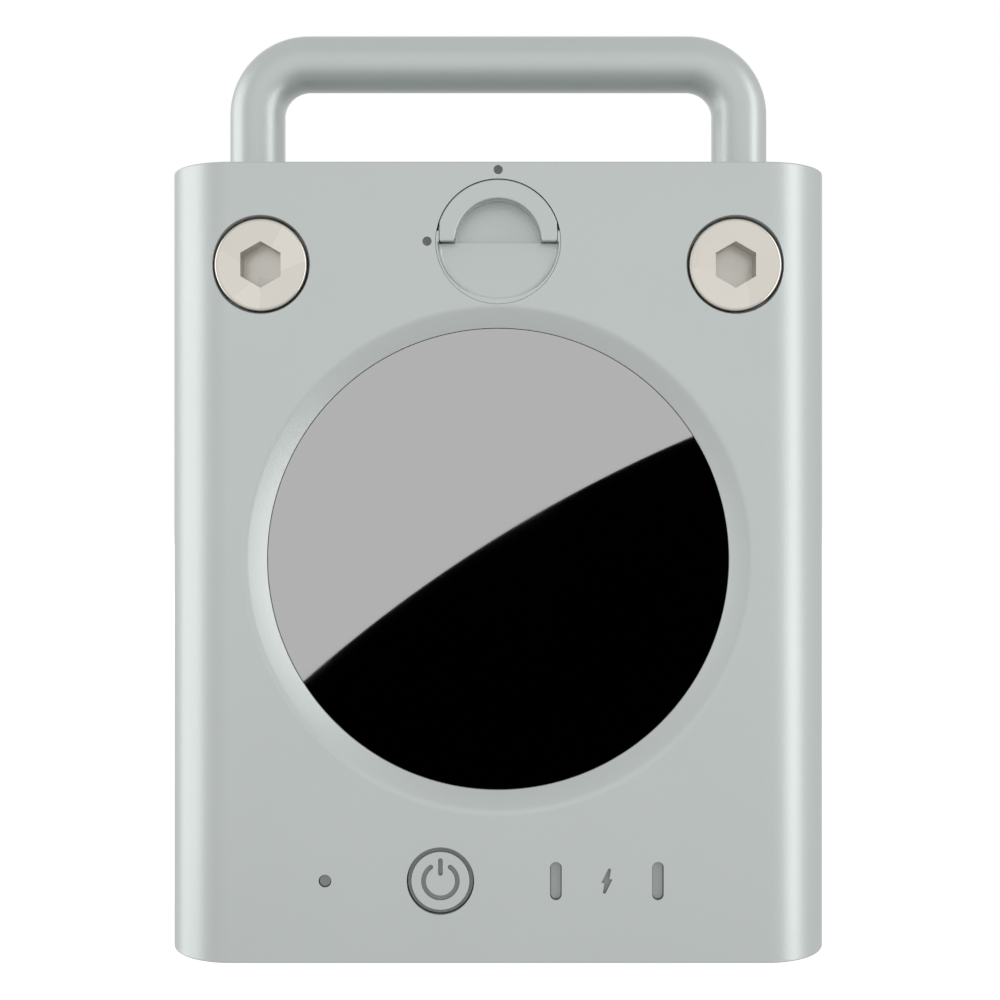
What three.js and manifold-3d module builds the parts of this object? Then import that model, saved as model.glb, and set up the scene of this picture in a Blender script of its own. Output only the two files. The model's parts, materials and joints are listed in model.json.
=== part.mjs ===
// A compact carry-handle power station: an extruded aluminium sleeve closed by two end caps, a round-bar
// handle held by two big socket screws, a dished wireless charging pad, a quarter-turn lock with a fold-up
// half ring, a status light, a power button and two charging ports with push-in dust plugs.
// Millimetres, +Z up. X runs to the right and Y to the back, so the front face looks along -Y.
// The origin is on the floor under the middle of the object.
import * as THREE from "three";
import { mergeVertices } from "three/addons/utils/BufferGeometryUtils.js";
import Module from "manifold-3d";

const wasm = await Module();
wasm.setup();

// ---------------------------------------------------------------------------------------------
// Driving dimensions
// ---------------------------------------------------------------------------------------------
const footHeight = 2;
const body = { width: 146.6, depth: 68, height: 173.7, cornerRadius: 15.4 };
const sideWall = 3;
const frontWall = 6.5;
const capThickness = 3;
const restGap = 0.1; // between fixed pieces that bear on each other
const looseGap = 0.3; // round pieces that drop into a recess or turn in it
const through = 1; // how far a cutting tool runs past the face it breaks through

const front = -body.depth / 2;
const floorOfBody = footHeight;
const topOfBody = footHeight + body.height;
const wallBack = front + frontWall;
const cavity = {
  halfWidth: body.width / 2 - sideWall,
  front: wallBack,
  back: body.depth / 2 - sideWall,
  cornerRadius: body.cornerRadius - sideWall,
};

const handle = { legX: 57.9, barZ: 207.2, radius: 6.55, bendRadius: 12.5, legEndZ: 141 };
const handleScrew = {
  x: 51.5,
  z: 153.4,
  headRadius: 10.1,
  headHeight: 4.7,
  headSink: 0.1,
  headChamfer: 0.45,
  boreRadius: 10.6,
  boreDepth: 5,
  shankRadius: 5.85,
  shankEnd: 25.4,
  shankChamfer: 1,
  hexAcrossFlats: 8.7,
  hexDepth: 4.4,
};
const anchor = { low: 136, high: 168, inner: 43.5, back: 8.2 };

const dish = { z: 89.5, rimRadius: 54.8, glassRadius: 50.4, coneDepth: 2.66, rimFillet: 3, bore: 46.4 };
const glass = { sink: 2.9, thickness: 1.6, edge: 0.3 };
const gasket = { thickness: 0.4, inset: 0.4 };
const dishLedge = glass.sink + glass.thickness + gasket.thickness + 2 * restGap;

const dial = {
  z: 158.4,
  radius: 13.55,
  boreRadius: 13.75,
  thickness: 6.2,
  pocketRadius: 9.35,
  pocketDepth: 5,
  seatDepth: 2.6,
  rampDepth: 2,
  rampSink: 0.1,
};
const bail = {
  radius: 13.5,
  sink: 0.05,
  thickness: 2.35,
  halfWidth: 13.2,
  pivotRise: 1.3,
  pivotDepth: 1.25,
  pinRadius: 0.6,
  knuckleRadius: 1.2,
  cheekRise: 2.3,
};
const indexDot = { radius: 1, depth: 0.8, ringX: -15.4, topZ: 173.9 };

const controlsZ = 19.86;
const led = {
  x: -37.5,
  holeRadius: 1.38,
  radius: 1.25,
  sink: 0.5,
  flange: 1,
  pipeGap: 1.6,
  chipHalf: 1,
  chipHeight: 1.2,
};
const power = {
  x: -12.5,
  sink: 0.05,
  holeRadius: 7.3,
  capRadius: 6.3,
  guideRadius: 7.1,
  grooveDepth: 1,
  flangeRadius: 8.4,
  flangeBack: 8,
  stemRadius: 1.5,
  stemEnd: 9.7,
};
const icon = { radius: 3.66, stroke: 1, depth: 0.6, gapDegrees: 35, barLow: 1.14, barHigh: 4.89 };
const port = {
  x: [12.5, 34.6],
  width: 2.5,
  height: 8.3,
  lip: 0.9,
  relief: 1.2,
  plugPlay: 0.2,
  plugSink: 0.8,
  plugEnd: 6.8,
};
const bolt = { x: 23.55, depth: 0.5 };

const boards = { depth0: 14, depth1: 15.6 };
const cell = { radius: 10.6, height: 70, pitch: 22.5, y: 19.2, columns: 4 };
const layerFloors = [20, 94];

// Sides given to round pieces, by size
const fine = 64;
const medium = 40;
const coarse = 20;
const small = 12;

// Steps along each rounded corner of an outline. three.js doubles them on a full arc.
const outerCornerSteps = 7;
const cornerSteps = 4;
const ringSteps = 14;
const pocketSteps = 12;
const markSteps = 8;

// ---------------------------------------------------------------------------------------------
// Finishes
// ---------------------------------------------------------------------------------------------
function finish(color, roughness, metalness) {
  return new THREE.MeshStandardMaterial({ color, roughness, metalness });
}
const anodised = finish(0xbcc1c0, 0.45, 0.6);
const nickel = finish(0xcdcac1, 0.25, 1);
const steel = finish(0x9a9a98, 0.35, 1);
const blackGlass = finish(0x050505, 0.08, 0);
const rubber = finish(0x3a3c3d, 0.85, 0);
const silicone = finish(0x9ea2a1, 0.75, 0);
const diffuser = finish(0x8f9493, 0.4, 0);
const copper = finish(0xb8734a, 0.35, 1);
const ferrite = finish(0x2c2c2e, 0.7, 0.2);
const mouldedPlastic = finish(0x2a2c2e, 0.6, 0);
const boardGreen = finish(0x1f4a35, 0.5, 0);
const cellWrap = finish(0x3a6ea5, 0.4, 0);

// ---------------------------------------------------------------------------------------------
// Solids: three.js makes each shape, manifold-3d only joins and cuts
// ---------------------------------------------------------------------------------------------
function solidOf(geometry) {
  const bare = new THREE.BufferGeometry();
  bare.setAttribute("position", geometry.getAttribute("position"));
  bare.setIndex(geometry.index);
  const merged = mergeVertices(bare, 1e-4);
  const vertProperties = merged.attributes.position.array;
  const triVerts = new Uint32Array(merged.index.array);
  return new wasm.Manifold(new wasm.Mesh({ numProp: 3, vertProperties, triVerts }));
}

function geometryOf(solid) {
  const mesh = solid.getMesh();
  const geometry = new THREE.BufferGeometry();
  geometry.setAttribute("position", new THREE.BufferAttribute(mesh.vertProperties, 3));
  geometry.setIndex(new THREE.BufferAttribute(mesh.triVerts, 1));
  return geometry.toNonIndexed();
}

function cut(base, ...tools) {
  return tools.reduce((rest, tool) => rest.subtract(tool), base);
}

function join(first, ...others) {
  return others.reduce((whole, part) => whole.add(part), first);
}

function box(x0, x1, y0, y1, z0, z1) {
  const geometry = new THREE.BoxGeometry(x1 - x0, y1 - y0, z1 - z0);
  geometry.translate((x0 + x1) / 2, (y0 + y1) / 2, (z0 + z1) / 2);
  return solidOf(geometry);
}

// An outline drawn in plan (X, Y), raised from z0 to z1.
function raised(shape, z0, z1, curveSegments = cornerSteps) {
  const geometry = new THREE.ExtrudeGeometry(shape, { depth: z1 - z0, bevelEnabled: false, curveSegments });
  geometry.translate(0, 0, z0);
  return solidOf(geometry);
}

// An outline drawn as seen from the front (X, Z), running back from depth0 to depth1 behind the front face.
function sunk(shape, x, z, depth0, depth1, curveSegments = cornerSteps) {
  const depth = depth1 - depth0;
  const geometry = new THREE.ExtrudeGeometry(shape, { depth, bevelEnabled: false, curveSegments });
  geometry.rotateX(Math.PI / 2);
  geometry.translate(x, front + depth1, z);
  return solidOf(geometry);
}

// An outline drawn in side view (Y, Z), running from x0 to x1.
function across(shape, x0, x1) {
  const geometry = new THREE.ExtrudeGeometry(shape, { depth: x1 - x0, bevelEnabled: false });
  geometry.rotateX(Math.PI / 2);
  geometry.rotateZ(Math.PI / 2);
  geometry.translate(x0, 0, 0);
  return solidOf(geometry);
}

// A round piece turned about a line along Y through (x, z). Its outline is a list of [radius, depth]
// behind the front face, with growing depth along its outside.
function turned(outline, x, z, segments) {
  const points = outline.map(([radius, depth]) => new THREE.Vector2(radius, depth));
  const geometry = new THREE.LatheGeometry(points, segments);
  geometry.translate(x, front, z);
  return solidOf(geometry);
}

function rodAlongY(x, z, radius, depth0, depth1, segments = coarse) {
  return turned([[0, depth0], [radius, depth0], [radius, depth1], [0, depth1]], x, z, segments);
}

function rodAlongZ(x, y, radius, z0, z1, segments = coarse) {
  const geometry = new THREE.CylinderGeometry(radius, radius, z1 - z0, segments);
  geometry.rotateX(Math.PI / 2);
  geometry.translate(x, y, (z0 + z1) / 2);
  return solidOf(geometry);
}

function rodAlongX(z, y, radius, x0, x1, segments = coarse) {
  const geometry = new THREE.CylinderGeometry(radius, radius, x1 - x0, segments);
  geometry.rotateZ(Math.PI / 2);
  geometry.translate((x0 + x1) / 2, y, z);
  return solidOf(geometry);
}

function ringAlongY(x, z, innerRadius, outerRadius, depth0, depth1, segments = coarse) {
  return cut(
    rodAlongY(x, z, outerRadius, depth0, depth1, segments),
    rodAlongY(x, z, innerRadius, depth0 - through, depth1 + through, segments),
  );
}

// ---------------------------------------------------------------------------------------------
// Outlines
// ---------------------------------------------------------------------------------------------
function roundedPlan(halfWidth, yFront, yBack, radius) {
  const shape = new THREE.Shape();
  shape.moveTo(-halfWidth + radius, yFront);
  shape.absarc(halfWidth - radius, yFront + radius, radius, -Math.PI / 2, 0, false);
  shape.absarc(halfWidth - radius, yBack - radius, radius, 0, Math.PI / 2, false);
  shape.absarc(-halfWidth + radius, yBack - radius, radius, Math.PI / 2, Math.PI, false);
  shape.absarc(-halfWidth + radius, yFront + radius, radius, Math.PI, 1.5 * Math.PI, false);
  return shape;
}

function uprightPill(width, height) {
  const radius = width / 2;
  const reach = height / 2 - radius;
  const shape = new THREE.Shape();
  shape.absarc(0, reach, radius, 0, Math.PI, false);
  shape.absarc(0, -reach, radius, Math.PI, 2 * Math.PI, false);
  return shape;
}

function halfDisc(radius) {
  const shape = new THREE.Shape();
  shape.moveTo(-radius, 0);
  shape.lineTo(radius, 0);
  shape.absarc(0, 0, radius, 0, Math.PI, false);
  return shape;
}

function hexagon(acrossFlats) {
  const shape = new THREE.Shape();
  const radius = acrossFlats / Math.sqrt(3);
  for (let corner = 0; corner < 6; corner++) {
    const turn = Math.PI / 2 + (corner * Math.PI) / 3;
    const place = [radius * Math.cos(turn), radius * Math.sin(turn)];
    if (corner === 0) shape.moveTo(...place);
    else shape.lineTo(...place);
  }
  return shape;
}

// The open ring of the power mark: a stroke with round ends and a gap at the top.
function openRing(radius, stroke, gapDegrees) {
  const half = stroke / 2;
  const start = Math.PI / 2 + THREE.MathUtils.degToRad(gapDegrees);
  const end = Math.PI / 2 - THREE.MathUtils.degToRad(gapDegrees) + 2 * Math.PI;
  const shape = new THREE.Shape();
  shape.absarc(0, 0, radius + half, start, end, false);
  shape.absarc(radius * Math.cos(end), radius * Math.sin(end), half, end, end + Math.PI, false);
  shape.absarc(0, 0, radius - half, end, start, true);
  const [startX, startZ] = [radius * Math.cos(start), radius * Math.sin(start)];
  shape.absarc(startX, startZ, half, start + Math.PI, start + 2 * Math.PI, false);
  return shape;
}

// A charging flash: two leaning leaves that are the same shape turned half round.
function flash() {
  const leaf = [[0.35, 2.75], [0.9, 2.6], [0.55, 0.45], [1.2, 0.35]];
  const shape = new THREE.Shape();
  shape.moveTo(...leaf[0]);
  leaf.slice(1).forEach(([x, z]) => shape.lineTo(x, z));
  leaf.forEach(([x, z]) => shape.lineTo(-x, -z));
  return shape;
}

// ---------------------------------------------------------------------------------------------
// The assembly
// ---------------------------------------------------------------------------------------------
const station = new THREE.Group();

function place(name, solid, material) {
  const mesh = new THREE.Mesh(geometryOf(solid), material);
  mesh.name = name;
  station.add(mesh);
}

const sides = [["left", -1], ["right", 1]];

// The dish around the charging pad: a soft rim, a shallow cone and a straight wall down to the ledge.
function dishCutter() {
  const { rimRadius, coneDepth, rimFillet, glassRadius, bore } = dish;
  const slope = Math.atan2(coneDepth, rimRadius - glassRadius - looseGap);
  const tangent = rimFillet * Math.tan(slope / 2);
  const rim = [];
  const steps = 4;
  for (let step = 0; step <= steps; step++) {
    const turn = (slope * step) / steps;
    const radius = rimRadius + tangent - rimFillet * Math.sin(turn);
    rim.push([radius, rimFillet * (1 - Math.cos(turn))]);
  }
  const pocketRadius = glassRadius + looseGap;
  const outline = [
    [0, -through],
    [rimRadius + tangent, -through],
    ...rim,
    [pocketRadius, coneDepth],
    [pocketRadius, dishLedge],
    [bore, dishLedge],
    [bore, frontWall + through],
    [0, frontWall + through],
  ];
  return turned(outline, 0, dish.z, fine);
}

function makeSleeve() {
  const outside = roundedPlan(body.width / 2, front, body.depth / 2, body.cornerRadius);
  const inside = roundedPlan(cavity.halfWidth, cavity.front, cavity.back, cavity.cornerRadius);
  let sleeve = cut(
    raised(outside, floorOfBody, topOfBody, outerCornerSteps),
    raised(inside, floorOfBody - through, topOfBody + through),
    dishCutter(),
    rodAlongY(0, dial.z, dial.boreRadius, -through, frontWall + through, medium),
    rodAlongY(0, indexDot.topZ, indexDot.radius, -through, indexDot.depth, small),
    rodAlongY(indexDot.ringX, dial.z, indexDot.radius, -through, indexDot.depth, small),
    rodAlongY(led.x, controlsZ, led.holeRadius, -through, frontWall + through, small),
    rodAlongY(power.x, controlsZ, power.holeRadius, -through, frontWall + through, medium),
    sunk(flash(), bolt.x, controlsZ, -through, bolt.depth),
  );
  for (const [, side] of sides) {
    const x = side * handleScrew.x;
    sleeve = cut(
      sleeve,
      rodAlongY(x, handleScrew.z, handleScrew.boreRadius, -through, handleScrew.boreDepth, medium),
      rodAlongY(x, handleScrew.z, handleScrew.shankRadius + looseGap, 0, frontWall + through),
    );
  }
  const mouth = uprightPill(port.width, port.height);
  const behindLip = uprightPill(port.width + port.relief, port.height + port.relief);
  for (const x of port.x) {
    sleeve = cut(
      sleeve,
      sunk(mouth, x, controlsZ, -through, port.lip + through),
      sunk(behindLip, x, controlsZ, port.lip, frontWall + through),
    );
  }
  place("housing_sleeve", sleeve, anodised);
}

// ---- End caps, feet and their screws ----
const grommet = { radius: 7.9, lipRadius: 8.6, lipHeight: 1 };
const foot = { x: 56, y: 16, radius: 6, recess: 0.8 };
const baseScrew = { x: 45, y: [8.5, 26.5], headRadius: 2.8, headHeight: 1.6, shankRadius: 1.4, length: 9 };
const baseKey = { acrossFlats: 2, depth: 1 };

function capPlan() {
  return roundedPlan(
    cavity.halfWidth - looseGap,
    cavity.front + looseGap,
    cavity.back - looseGap,
    cavity.cornerRadius - looseGap,
  );
}

function makeCaps() {
  const topFloor = topOfBody - capThickness;
  let top = raised(capPlan(), topFloor, topOfBody);
  for (const [, side] of sides) {
    top = cut(top, rodAlongZ(side * handle.legX, 0, grommet.radius, topFloor - through, topOfBody + through));
  }
  place("top_cap", top, anodised);

  const baseTop = floorOfBody + capThickness;
  const under = floorOfBody - through;
  let base = raised(capPlan(), floorOfBody, baseTop);
  for (const [, side] of sides) {
    for (const row of [-1, 1]) {
      const recess = [foot.radius + restGap, under, floorOfBody + foot.recess];
      base = cut(base, rodAlongZ(side * foot.x, row * foot.y, ...recess));
    }
    for (const y of baseScrew.y) {
      const x = side * baseScrew.x;
      const headTop = floorOfBody + baseScrew.headHeight + restGap;
      base = cut(
        base,
        rodAlongZ(x, y, baseScrew.headRadius + looseGap, under, headTop, small),
        rodAlongZ(x, y, baseScrew.shankRadius + looseGap, floorOfBody, baseTop + through, small),
      );
    }
  }
  place("bottom_cap", base, anodised);
}

function makeFeet() {
  let count = 0;
  for (const row of [-1, 1]) {
    for (const [, side] of sides) {
      count += 1;
      const top = floorOfBody + foot.recess - restGap;
      place(`foot_${count}`, rodAlongZ(side * foot.x, row * foot.y, foot.radius, 0, top), rubber);
    }
  }
}

function makeBaseScrews() {
  let count = 0;
  for (const y of baseScrew.y) {
    for (const [, side] of sides) {
      count += 1;
      const x = side * baseScrew.x;
      const seat = floorOfBody + baseScrew.headHeight;
      const keyhole = hexagon(baseKey.acrossFlats);
      const socket = raised(keyhole, floorOfBody - through, floorOfBody + baseKey.depth);
      const head = rodAlongZ(x, y, baseScrew.headRadius, floorOfBody + restGap, seat, small);
      const end = floorOfBody + baseScrew.length;
      const shank = rodAlongZ(x, y, baseScrew.shankRadius, seat - restGap, end, small);
      place(`base_screw_${count}`, cut(join(head, shank), socket.translate([x, y, 0])), steel);
    }
  }
}

// ---- Carry handle, its anchors, screws, cross pins and grommets ----
// The centre line climbs one leg, turns a quarter circle, crosses and comes down the other leg. Its
// stations are spaced by stretch: one step along each straight and bendSteps round each bend.
const bendSteps = 6;
const handleSteps = 2 * bendSteps + 3;
const barSteps = 10;
class HandlePath extends THREE.Curve {
  getUtoTmapping(u) {
    return u;
  }

  getPoint(t, target = new THREE.Vector3()) {
    const step = t * handleSteps;
    const mirrored = step > handleSteps / 2;
    const along = mirrored ? handleSteps - step : step;
    const side = mirrored ? 1 : -1;
    const bendX = handle.legX - handle.bendRadius;
    const bendZ = handle.barZ - handle.bendRadius;
    const legLength = bendZ - handle.legEndZ;
    if (along < 1) return target.set(side * handle.legX, 0, handle.legEndZ + along * legLength);
    if (along > bendSteps + 1) {
      const across = 1 - 2 * (along - bendSteps - 1);
      return target.set(side * bendX * across, 0, handle.barZ);
    }
    const turn = ((along - 1) / bendSteps) * (Math.PI / 2);
    const x = bendX + handle.bendRadius * Math.cos(turn);
    return target.set(side * x, 0, bendZ + handle.bendRadius * Math.sin(turn));
  }
}

const legPin = { z: 146, radius: 2, depth0: 24.6, depth1: 41.9, runOut: 5 };

function makeHandle() {
  const section = new THREE.Shape();
  section.absarc(0, 0, handle.radius, 0, 2 * Math.PI, false);
  const geometry = new THREE.ExtrudeGeometry(section, {
    steps: handleSteps,
    extrudePath: new HandlePath(),
    curveSegments: barSteps,
    bevelEnabled: false,
  });
  let bar = solidOf(geometry);
  const pinBore = [legPin.z, legPin.radius + restGap, legPin.depth0, legPin.depth1, small];
  for (const [, side] of sides) {
    bar = cut(bar, rodAlongY(side * handle.legX, ...pinBore));
  }
  place("carry_handle", bar, anodised);
}

function anchorPlan() {
  const shape = new THREE.Shape();
  const cornerX = cavity.halfWidth - cavity.cornerRadius;
  const cornerY = cavity.front + cavity.cornerRadius;
  const radius = cavity.cornerRadius - looseGap;
  shape.moveTo(anchor.inner, cavity.front + looseGap);
  shape.absarc(cornerX, cornerY, radius, -Math.PI / 2, 0, false);
  shape.lineTo(cornerX + radius, anchor.back);
  shape.lineTo(anchor.inner, anchor.back);
  return shape;
}

function makeAnchors() {
  const legBore = [handle.radius + restGap, handle.legEndZ - restGap, anchor.high + through];
  const screwBore = [handleScrew.shankRadius + restGap, frontWall - through, handleScrew.shankEnd + through];
  const pinBore = [legPin.radius + restGap, legPin.depth0, legPin.depth1 + legPin.runOut];
  const right = cut(
    raised(anchorPlan(), anchor.low, anchor.high),
    rodAlongZ(handle.legX, 0, ...legBore),
    rodAlongY(handleScrew.x, handleScrew.z, ...screwBore),
    rodAlongY(handle.legX, legPin.z, ...pinBore, small),
  );
  place("handle_anchor_right", right, mouldedPlastic);
  place("handle_anchor_left", right.mirror([1, 0, 0]), mouldedPlastic);
  for (const [name, side] of sides) {
    const { z, radius, depth0, depth1 } = legPin;
    const pin = rodAlongY(side * handle.legX, z, radius, depth0 + restGap, depth1 - restGap, small);
    place(`leg_pin_${name}`, pin, steel);
  }
}

function makeHandleScrews() {
  const { x, z, headRadius, headHeight, headSink, headChamfer, shankRadius, shankEnd } = handleScrew;
  const { shankChamfer, hexAcrossFlats, hexDepth } = handleScrew;
  const outline = [
    [0, headSink],
    [headRadius - headChamfer, headSink],
    [headRadius, headSink + headChamfer],
    [headRadius, headSink + headHeight],
    [shankRadius, headSink + headHeight],
    [shankRadius, shankEnd - shankChamfer],
    [shankRadius - shankChamfer, shankEnd],
    [0, shankEnd],
  ];
  for (const [name, side] of sides) {
    const socket = sunk(hexagon(hexAcrossFlats), side * x, z, -through, headSink + hexDepth);
    place(`handle_screw_${name}`, cut(turned(outline, side * x, z, medium), socket), nickel);
  }
}

function makeGrommets() {
  for (const [name, side] of sides) {
    const x = side * handle.legX;
    const low = topOfBody - capThickness;
    const high = topOfBody + grommet.lipHeight;
    const sleeve = rodAlongZ(x, 0, grommet.radius - restGap, low, high);
    const lip = rodAlongZ(x, 0, grommet.lipRadius, topOfBody + restGap, high);
    const bore = rodAlongZ(x, 0, handle.radius + restGap, low - through, high + through);
    place(`leg_grommet_${name}`, cut(join(sleeve, lip), bore), rubber);
  }
}

// ---- Wireless charging pad ----
const coil = { innerRadius: 9, outerRadius: 21 };
const magnets = { innerRadius: 23.5, outerRadius: 27.5 };
const carrier = { radius: 52, bossRadius: 45.6, pocketRadius: 28.2, pocketFloor: 7.6, back: 9.2 };
const coilFace = 5.3;
const coilBack = 6.5;
const ferriteBack = 7.4;

function makeChargingPad() {
  const back = glass.sink + glass.thickness;
  const pane = [
    [0, glass.sink],
    [dish.glassRadius - glass.edge, glass.sink],
    [dish.glassRadius, glass.sink + glass.edge],
    [dish.glassRadius, back],
    [0, back],
  ];
  place("charging_glass", turned(pane, 0, dish.z, fine), blackGlass);
  const sealRadii = [dish.bore + gasket.inset, dish.glassRadius];
  const seal = ringAlongY(0, dish.z, ...sealRadii, back + restGap, dishLedge - restGap, medium);
  place("glass_gasket", seal, rubber);
  const between = [coilFace, coilBack];
  const flatRing = (band) => ringAlongY(0, dish.z, band.innerRadius, band.outerRadius, ...between);
  place("charging_coil", flatRing(coil), copper);
  place("magnet_ring", flatRing(magnets), steel);
  const sheet = rodAlongY(0, dish.z, magnets.outerRadius, coilBack + restGap, ferriteBack);
  place("ferrite_plate", sheet, ferrite);
  const tray = turned(
    [
      [0, carrier.pocketFloor],
      [carrier.pocketRadius, carrier.pocketFloor],
      [carrier.pocketRadius, coilFace - restGap],
      [carrier.bossRadius, coilFace - restGap],
      [carrier.bossRadius, frontWall + looseGap],
      [carrier.radius, frontWall + looseGap],
      [carrier.radius, carrier.back],
      [0, carrier.back],
    ],
    0,
    dish.z,
    coarse,
  );
  place("coil_carrier", tray, mouldedPlastic);
}

// ---- Quarter-turn lock ----
// The dial turns in the front wall and carries a half ring that folds flat into it. Its stem runs through
// a bushing to a tongue, which stands in a keeper under the top cap while the dial is locked.
const stem = { radius: 4, flatHalf: 3, threadRadius: 2.6, flatFrom: 12.6, threadFrom: 15, end: 18 };
const bushing = {
  halfWidth: 20,
  low: 145,
  high: 172.2,
  depth0: 6.7,
  depth1: 9.3,
  hubRadius: 6.5,
  hubEnd: 12.4,
  play: 0.2,
};
const tongue = { halfWidth: 3, reach: 12, hubRadius: 6, depth0: 12.9, depth1: 14.9, eyePlay: 0.12 };
const nut = { acrossFlats: 9, depth0: 15.2, depth1: 17.6 };
const keeper = { halfWidth: 7, low: 165.6, webLow: 171, depth0: 11.2, gap0: 12.5, gap1: 15.3, depth1: 16.6 };

function pivotRod(radius, x0, x1) {
  return rodAlongX(dial.z + bail.pivotRise, front + bail.pivotDepth, radius, x0, x1, small);
}

// A round bar with two flats, which turns the tongue with the dial.
function flattedBar(radius, flatHalf, depth0, depth1) {
  const reach = radius + through;
  const [y0, y1] = [front + depth0 - through, front + depth1 + through];
  const flats = box(-flatHalf, flatHalf, y0, y1, dial.z - reach, dial.z + reach);
  return rodAlongY(0, dial.z, radius, depth0, depth1).intersect(flats);
}

// The lower half of the dial slopes from nearly flush at its foot to rampDepth at the straight edge.
function rampCutter() {
  const shape = new THREE.Shape();
  const reach = dial.radius + through;
  shape.moveTo(front - through, dial.z - reach);
  shape.lineTo(front + dial.rampSink, dial.z - reach);
  shape.lineTo(front + dial.rampSink, dial.z - dial.radius);
  shape.lineTo(front + dial.rampDepth, dial.z);
  shape.lineTo(front - through, dial.z);
  return across(shape, -reach, reach);
}

function makeDial() {
  const { z, radius, thickness } = dial;
  const cheek = bail.halfWidth + restGap;
  const cheekTop = z + bail.cheekRise;
  const clear = radius + through;
  const seatBack = front + dial.seatDepth;
  const blank = join(
    rodAlongY(0, z, radius, dial.rampSink, thickness, medium),
    rodAlongY(0, z, stem.radius, thickness - through, stem.flatFrom),
    flattedBar(stem.radius, stem.flatHalf, stem.flatFrom - through, stem.threadFrom),
    rodAlongY(0, z, stem.threadRadius, stem.threadFrom - through, stem.end, small),
  );
  let made = cut(
    blank,
    box(-cheek, cheek, front - through, seatBack, z, z + clear),
    box(-clear, clear, front - through, seatBack, cheekTop, z + clear),
    sunk(halfDisc(dial.pocketRadius), 0, z, -through, dial.pocketDepth, pocketSteps),
    rampCutter(),
    pivotRod(bail.pinRadius + restGap, -clear, clear),
  );
  for (const [, side] of sides) {
    const ends = [side * (dial.pocketRadius - restGap), side * cheek];
    made = cut(made, pivotRod(bail.knuckleRadius + restGap, Math.min(...ends), Math.max(...ends)));
  }
  place("latch_dial", made, anodised);
}

// Each end of the half ring is a round knuckle about the pivot, so that it swings in a snug hollow.
function makeBail() {
  const { radius, sink, thickness, halfWidth, pivotRise, pinRadius, knuckleRadius } = bail;
  const ring = cut(
    sunk(halfDisc(radius), 0, dial.z, sink, thickness, ringSteps),
    rodAlongY(0, dial.z, dial.pocketRadius, -through, thickness + through, 4 * pocketSteps),
  );
  const [y0, y1] = [front - through, front + thickness + through];
  const trimmed = ring.intersect(
    box(-halfWidth, halfWidth, y0, y1, dial.z + pivotRise, dial.z + radius),
  );
  const pinEnd = dial.radius - restGap;
  const ends = sides.flatMap(([, side]) => {
    const knuckle = [side * dial.pocketRadius, side * halfWidth];
    const pin = [side * (halfWidth - through), side * pinEnd];
    return [
      pivotRod(knuckleRadius, Math.min(...knuckle), Math.max(...knuckle)),
      pivotRod(pinRadius, Math.min(...pin), Math.max(...pin)),
    ];
  });
  place("latch_bail", join(trimmed, ...ends), anodised);
}

function makeLockWorks() {
  const plate = box(
    -bushing.halfWidth,
    bushing.halfWidth,
    front + bushing.depth0,
    front + bushing.depth1,
    bushing.low,
    bushing.high,
  );
  const hub = rodAlongY(0, dial.z, bushing.hubRadius, bushing.depth1 - through, bushing.hubEnd);
  const boreRadius = stem.radius + bushing.play;
  const bore = rodAlongY(0, dial.z, boreRadius, bushing.depth0 - through, bushing.hubEnd + through);
  place("latch_bushing", cut(join(plate, hub), bore), mouldedPlastic);

  const arm = box(
    -tongue.halfWidth,
    tongue.halfWidth,
    front + tongue.depth0,
    front + tongue.depth1,
    dial.z,
    dial.z + tongue.reach,
  );
  const eyeSize = [stem.radius + tongue.eyePlay, stem.flatHalf + tongue.eyePlay];
  const eye = flattedBar(...eyeSize, tongue.depth0 - through, tongue.depth1 + through);
  const cam = cut(join(rodAlongY(0, dial.z, tongue.hubRadius, tongue.depth0, tongue.depth1), arm), eye);
  place("latch_tongue", cam, steel);

  const hexNut = cut(
    sunk(hexagon(nut.acrossFlats), 0, dial.z, nut.depth0, nut.depth1),
    rodAlongY(0, dial.z, stem.threadRadius + restGap, nut.depth0 - through, nut.depth1 + through, small),
  );
  place("latch_nut", hexNut, steel);

  const keeperTop = topOfBody - capThickness - restGap;
  const block = box(
    -keeper.halfWidth,
    keeper.halfWidth,
    front + keeper.depth0,
    front + keeper.depth1,
    keeper.low,
    keeperTop,
  );
  const slot = box(
    -keeper.halfWidth - through,
    keeper.halfWidth + through,
    front + keeper.gap0,
    front + keeper.gap1,
    keeper.low - through,
    keeper.webLow,
  );
  place("latch_keeper", cut(block, slot), steel);
}

// ---- Status light and power button ----
function makeStatusLight() {
  const flangeFront = frontWall + restGap;
  const flangeBack = frontWall + led.flange;
  const pipeEnd = boards.depth0 - led.pipeGap;
  const pipe = [
    [0, led.sink],
    [led.radius, led.sink],
    [led.radius, flangeFront],
    [led.radius + led.flange, flangeFront],
    [led.radius + led.flange, flangeBack],
    [led.radius, flangeBack],
    [led.radius, pipeEnd],
    [0, pipeEnd],
  ];
  place("led_lens", turned(pipe, led.x, controlsZ, small), diffuser);
  const chipBack = front + boards.depth0 - restGap;
  const chip = box(
    led.x - led.chipHalf,
    led.x + led.chipHalf,
    chipBack - led.chipHeight,
    chipBack,
    controlsZ - led.chipHalf,
    controlsZ + led.chipHalf,
  );
  place("status_led", chip, diffuser);
}

const tactSwitch = { half: 3.1, height: 2.6, plungerRadius: 1.75, travelGap: 1.1 };

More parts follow.
